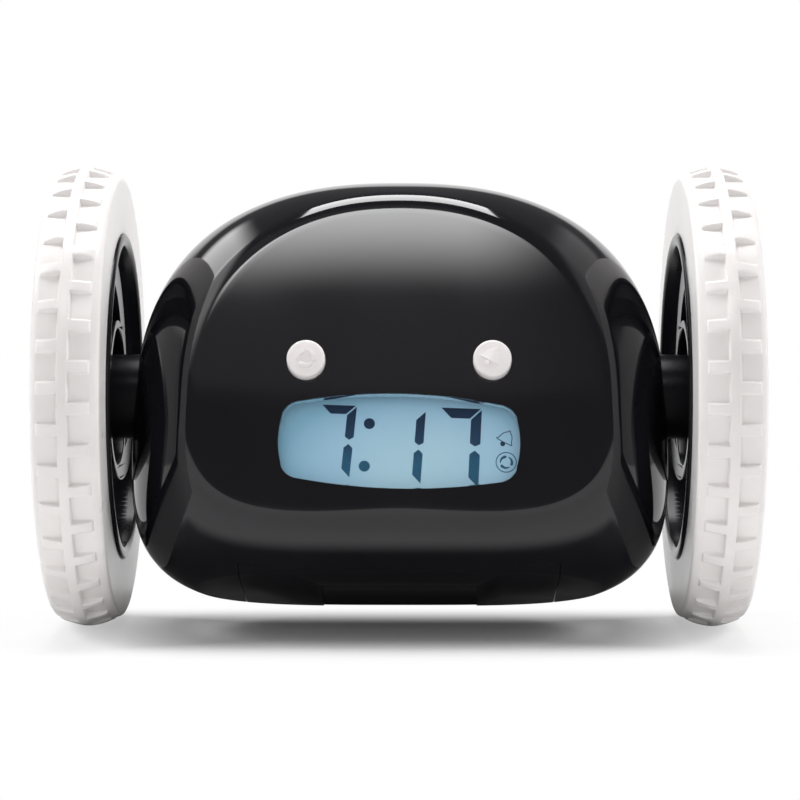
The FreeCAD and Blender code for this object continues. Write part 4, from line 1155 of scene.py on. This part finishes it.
# The rounded lip of the rim, as (x, radius), and the cup, as (distance behind the blades, radius).
RIM_LIP = ((53.8, 29.2), (53.55, 29.3), (53.3, 29.6), (53.17, 30.1), (53.15, 30.5), (53.22, 31.0),
           (53.36, 31.35), (53.5, 31.5), (53.7, 31.58))
CUP = ((-3.2, 1.6), (-3.2, 13.7), (-0.02, 13.7), (-0.02, 6.4), (2.6, 5.6), (2.6, 3.0), (0.6, 3.0),
       (0.6, 1.6))


def blade_opening():
    """The outline of the opening between two swept blades."""
    h = HUB
    outer = h["blade_arc"]
    inner = outer - h["blade_width"]
    reach = outer - h["ring"]

    def meeting(radius, circle):
        """Where an arc round a blade's centre crosses a circle round the hub, in degrees."""
        return math.degrees(math.acos((radius ** 2 + reach ** 2 - circle ** 2)
                                      / (2 * reach * radius)))

    def heading(point):
        return math.degrees(math.atan2(point[1], point[0])) % 360

    near = arc((-reach, 0.0), inner, meeting(inner, h["ring"]), meeting(inner, h["land"]), 24)
    far = moved(arc((-reach, 0.0), outer, meeting(outer, h["land"]), 0.0, 24), 1.0,
                360 / h["blades"], (0, 0))
    rim = arc((0, 0), h["land"], heading(near[-1]), heading(far[0]), 40)
    ring = arc((0, 0), h["ring"], heading(far[-1]), heading(near[0]), 16)
    return near + rim[1:-1] + far + ring[1:-1]


def pierced_plate(name, outlines, low, high, bevel):
    """A plate along X, outlined in the wheel's plane with the outside first, with eased edges."""
    curve = bpy.data.curves.new(name, "CURVE")
    curve.dimensions = "2D"
    curve.fill_mode = "BOTH"
    for outline in outlines:
        spline = curve.splines.new("POLY")
        spline.points.add(len(outline) - 1)
        for point, (y, z) in zip(spline.points, outline):
            point.co = (y, z, 0.0, 1.0)
        spline.use_cyclic_u = True
    curve.extrude = (high - low) / 2 - bevel
    curve.bevel_depth = bevel
    curve.bevel_resolution = 2
    curve.offset = -bevel
    upright = Matrix(((0, 0, 1, (low + high) / 2), (1, 0, 0, 0), (0, 1, 0, 0), (0, 0, 0, 1)))
    return outward(placed(evaluated(name, link(name, curve)), upright))


def eased(profile):
    """A lathe profile with each corner cut by a small rounding."""
    result = []
    profile = [np.array(corner, float) for corner in profile]
    for before, corner, after in zip(profile[-1:] + profile, profile, profile[1:] + profile[:1]):
        back, ahead = before - corner, after - corner
        cut = min(EASED_BY, 0.4 * np.linalg.norm(back), 0.4 * np.linalg.norm(ahead))
        result += [tuple(p) for p in round_corner(corner + unit(back) * cut, corner,
                                                  corner + unit(ahead) * cut, 3)]
    return result


class CLOCK_OT_hubs(bpy.types.Operator):
    """Make both hubs: a rim, three swept blades and a cup round the pod's boss"""

    bl_idname = "clock.hubs"
    bl_label = "Hubs"

    def execute(self, context):
        h = HUB
        outlines = [disc(h["plate"], count=192)]
        outlines += [moved(blade_opening(), 1.0, 360 / h["blades"] * k, (0, 0))
                     for k in range(h["blades"])]
        plate = pierced_plate("blade_plate", outlines + [disc(h["cup"])], h["blade_face"],
                              h["blade_back"], h["blade_bevel"])
        out, seat, land = h["outside"], h["seat"], h["land"]
        rim = lathe("rim", [*RIM_LIP, (out - 0.2, seat), (out, seat - 0.2), (out, land + 0.2),
                            (out - 0.2, land)], 192)
        cup = lathe("cup", eased([(h["blade_back"] + x, radius) for x, radius in CUP]), 128)
        hub = joined("hub", [plate, rim, cup])
        for side, name in SIDES:
            mesh = mirrored(hub, side)
            if side < 0:
                mesh.flip_normals()
            piece(f"{name}_pinwheel_hub", mesh, f"{name}_wheel", "hub", f"{name}_hub", crease=32)
        return {"FINISHED"}


# ---------------------------------------------------------------- carried-over nodes

class CLOCK_OT_works(bpy.types.Operator):
    """Dress the pieces that stay as the frame made them"""

    bl_idname = "clock.works"
    bl_label = "Works"

    def execute(self, context):
        slots = {row["node"]: row["material_slot"] for row in frame["record"]["subparts"]}
        for name, thing in frame["nodes"].items():
            material = finish_of(slots[name])
            if not thing.material_slots:
                thing.data.materials.append(material)
            for holder in thing.material_slots:
                holder.material = material
        return {"FINISHED"}


# ---------------------------------------------------------------- stage

VIEW_DISTANCE = 0.530
VIEW_FOCAL = 122.4
VIEW_AZIMUTH = math.radians(0.4)
VIEW_ELEVATION = math.radians(3.0)
PICTURE = 800
AXLE_PIXEL = (400.2, 396.5)
FLOOR_TONE = 0.80
# Painted shade: in gloss the floor near the clock takes this darker tone, which the casing's base
# and chin mirror.
FLOOR_MIRRORED_SHADE_TONE = 0.2
FLOOR_DEPTH = 0.00005
# Where the floor turns from its own shading to plain white, as (start, end) in metres to either
# side, to the front and to the back: as the camera sees it, and as gloss sees it under the clock.
FLOOR_SEEN = ((0.022, 0.098), (0.020, 0.055), (-0.001, 0.026))
FLOOR_MIRRORED = ((0.066, 0.078), (0.031, 0.038), (0.041, 0.063))
# What the gloss mirrors. Ceiling panels by x and y on a ceiling one unit up (+y behind), walls by
# azimuth (0 in front, + to the right) and elevation in degrees; each range is (low, high,
# softness below, softness above), and the last number is a radiance.
CEILING_PANELS = (
    ((-0.31, 0.29, 0.01, 0.01), (-0.10, 0.45, 0.01, 0.01), 12.0),
    ((-0.36, 0.09, 0.26, 0.24), (-0.86, -0.84, 0.31, 0.06), 13.0),
    ((-1.05, -0.80, 1.40, 0.20), (0.50, 1.20, 0.25, 0.40), 3.8),
    ((-1.05, -0.80, 1.40, 0.20), (-0.60, 0.45, 0.60, 0.20), 2.2),
    ((0.80, 1.05, 0.20, 0.25), (-0.60, 1.20, 0.30, 0.40), 0.45),
)
WALL = (-95, 20, 1, 4)
WALL_PANELS = (
    ((-200, 200, 1, 1), WALL, 0.24),
    ((-80, 80, 12, 12), WALL, 0.71),
    ((-200, -158, 1, 10), WALL, 0.71),
    ((158, 200, 10, 1), WALL, 0.71),
    ((-60, 6, 20, 16), (33.5, 60, 1.5, 8), 0.22),
)
STUDIO_AMBIENT = 0.13
PLAIN_LEVEL = 0.43
LOWEST_CEILING = 0.02
# Soft lamps that shape the object but aren't mirrored: name, energy, size, place and aim.
LAMPS = (
    ("overhead_lamp", 6.3, (0.75, 0.65), (-0.01, 0.175, 1.0), (0, 0, 0.04)),
    ("front_lamp", 1.15, (0.9, 0.4), (-0.15, -1.0, 0.45), (0, 0, 0.04)),
    ("wheel_lamp", 4.4, (0.35, 0.35), (-0.7, 0.1, 0.6), (0.06, 0, 0.05)),
    ("wheel_lamp", 4.4, (0.35, 0.35), (0.7, 0.1, 0.6), (-0.06, 0, 0.05)),
)


def towards(direction):
    """The rotation of a lamp or a camera that looks along a direction."""
    return Vector(direction).to_track_quat("-Z", "Y").to_euler()


def floor_mask(tree, spot, zones):
    """0 where the floor shows its own shading, 1 where it is plain white."""
    x, y, _ = add(tree, "ShaderNodeSeparateXYZ", {0: spot}).outputs
    ways = (maths(tree, "ABSOLUTE", x), maths(tree, "MULTIPLY", y, -1.0), y)
    mask = 0.0
    for value, (start, end) in zip(ways, zones):
        mask = maths(tree, "MAXIMUM", mask, fade(tree, value, start, end))
    return mask


def panel(tree, first, second, across, up, level):
    """One soft-edged panel of the studio, as a radiance."""
    for value, (low, high, soft_low, soft_high) in ((first, across), (second, up)):
        rise = fade(tree, value, low - soft_low, low)
        fall = fade(tree, value, high, high + soft_high, (1.0, 0.0))
        level = maths(tree, "MULTIPLY", level, maths(tree, "MULTIPLY", rise, fall))
    return level


def ray_kinds(tree):
    """1 for a ray that gloss sends, and 1 for a ray of the camera's or through glass."""
    path = add(tree, "ShaderNodeLightPath").outputs
    return path["Is Glossy Ray"], maths(tree, "MAXIMUM", path["Is Camera Ray"],
                                        path["Is Transmission Ray"])


def pale_floor(tree, shader):
    """A pale floor that turns plain white away from the clock's shadow; in gloss it is darkened
    near the clock, a painted shade that the casing mirrors.
    """
    glossy, seen = ray_kinds(tree)
    spot = add(tree, "ShaderNodeTexCoord").outputs["Object"]
    # Painted shade: glossy rays see the floor darker than it is.
    tone = ramp(tree, glossy, [(0.0, (FLOOR_TONE,) * 3), (1.0, (FLOOR_MIRRORED_SHADE_TONE,) * 3)])
    feed(tree, shader.inputs, {"Roughness": 0.9, "Specular IOR Level": 0.1, "Base Color": tone})
    plain = [maths(tree, "MULTIPLY", floor_mask(tree, spot, zones), kind)
             for zones, kind in ((FLOOR_SEEN, seen), (FLOOR_MIRRORED, glossy))]
    white = add(tree, "ShaderNodeEmission", {"Color": (1, 1, 1, 1), "Strength": 1.0}).outputs[0]
    mix = add(tree, "ShaderNodeMixShader", {0: maths(tree, "MAXIMUM", *plain),
                                            1: shader.outputs[0], 2: white}).outputs[0]
    feed(tree, tree.nodes["Material Output"].inputs, {"Surface": mix})


class CLOCK_OT_stage(bpy.types.Operator):
    """Make the floor, the surroundings, the lamps and the camera"""

    bl_idname = "clock.stage"
    bl_label = "Stage"

    def execute(self, context):
        self.floor()
        self.surroundings(context.scene)
        self.lamps()
        self.camera(context.scene)
        context.scene.view_settings.view_transform = "Standard"
        return {"FINISHED"}

    def floor(self):
        mesh = bpy.data.meshes.new("floor")
        with editing(mesh) as whole:
            bmesh.ops.create_circle(whole, cap_ends=True, segments=96, radius=6.0)
        mesh.materials.append(made("pale_floor", pale_floor))
        link("floor", shifted(mesh, 0, 0, -FLOOR_DEPTH))

    def surroundings(self, scene):
        scene.world = bpy.data.worlds.new("studio")
        scene.world.use_nodes = True
        tree = scene.world.node_tree
        way = add(tree, "ShaderNodeTexCoord").outputs["Generated"]
        x, y, z = add(tree, "ShaderNodeSeparateXYZ", {0: way}).outputs
        turn = maths(tree, "ARCTAN2", x, maths(tree, "MULTIPLY", y, -1.0))
        azimuth, elevation = (maths(tree, "MULTIPLY", angle, math.degrees(1))
                              for angle in (turn, maths(tree, "ARCSINE", z)))
        above = maths(tree, "MAXIMUM", z, LOWEST_CEILING)
        ceiling = [maths(tree, "DIVIDE", value, above) for value in (x, y)]
        total = STUDIO_AMBIENT
        for ways, panels in ((ceiling, CEILING_PANELS), ((azimuth, elevation), WALL_PANELS)):
            for values in panels:
                total = maths(tree, "ADD", total, panel(tree, *ways, *values))
        glossy, seen = ray_kinds(tree)
        strength = PLAIN_LEVEL
        for kind, level in ((glossy, total), (seen, 1.0)):
            strength = add(tree, "ShaderNodeMix",
                           {"Factor": kind, "A": strength, "B": level}).outputs[0]
        feed(tree, tree.nodes["Background"].inputs, {"Color": (1, 1, 1, 1), "Strength": strength})

    def lamps(self):
        for name, energy, span, where, aim in LAMPS:
            lamp = bpy.data.lights.new(name, "AREA")
            lamp.shape = "RECTANGLE"
            lamp.size, lamp.size_y = span
            lamp.energy = energy
            thing = link(name, lamp)
            thing.location = where
            thing.rotation_euler = towards(Vector(aim) - Vector(where))
            thing.visible_glossy = False

    def camera(self, scene):
        lens = bpy.data.cameras.new("camera")
        lens.lens = VIEW_FOCAL
        lens.sensor_width = 36.0
        lens.shift_x = (PICTURE / 2 - AXLE_PIXEL[0]) / PICTURE
        lens.shift_y = -(PICTURE / 2 - AXLE_PIXEL[1]) / PICTURE
        level = math.cos(VIEW_ELEVATION)
        back = Vector((math.sin(VIEW_AZIMUTH) * level, -math.cos(VIEW_AZIMUTH) * level,
                       math.sin(VIEW_ELEVATION)))
        scene.camera = link("camera", lens)
        scene.camera.location = Vector((0, 0, AXLE_HEIGHT)) + back * VIEW_DISTANCE
        scene.camera.rotation_euler = towards(-back)


# ---------------------------------------------------------------- panel and main

class CLOCK_PT_panel(bpy.types.Panel):
    """The clock's sizes, colours and makers"""

    bl_idname = "CLOCK_PT_panel"
    bl_label = "Runaway alarm clock"
    bl_space_type = "VIEW_3D"
    bl_region_type = "UI"
    bl_category = "Clock"

    def draw(self, context):
        for group in (sizes(), colours()):
            box = self.layout.box()
            for name in group.__annotations__:
                box.prop(group, name)
        for operator in OPERATORS:
            self.layout.operator(operator.bl_idname)


OPERATORS = (CLOCK_OT_stage, CLOCK_OT_casing, CLOCK_OT_face, CLOCK_OT_tyres, CLOCK_OT_hubs,
             CLOCK_OT_works)
CLASSES = (ClockSizes, ClockColours) + OPERATORS + (CLOCK_PT_panel,)


def register():
    for cls in CLASSES:
        bpy.utils.register_class(cls)
    bpy.types.Scene.clock_sizes = bpy.props.PointerProperty(type=ClockSizes)
    bpy.types.Scene.clock_colours = bpy.props.PointerProperty(type=ClockColours)


def unregister():
    del bpy.types.Scene.clock_colours
    del bpy.types.Scene.clock_sizes
    for cls in reversed(CLASSES):
        bpy.utils.unregister_class(cls)


def main():
    register()
    bpy.ops.clock.stage()
    bpy.ops.clock.casing()
    bpy.ops.clock.face()
    bpy.ops.clock.tyres()
    bpy.ops.clock.hubs()
    bpy.ops.clock.works()


if __name__ == "__main__":
    main()
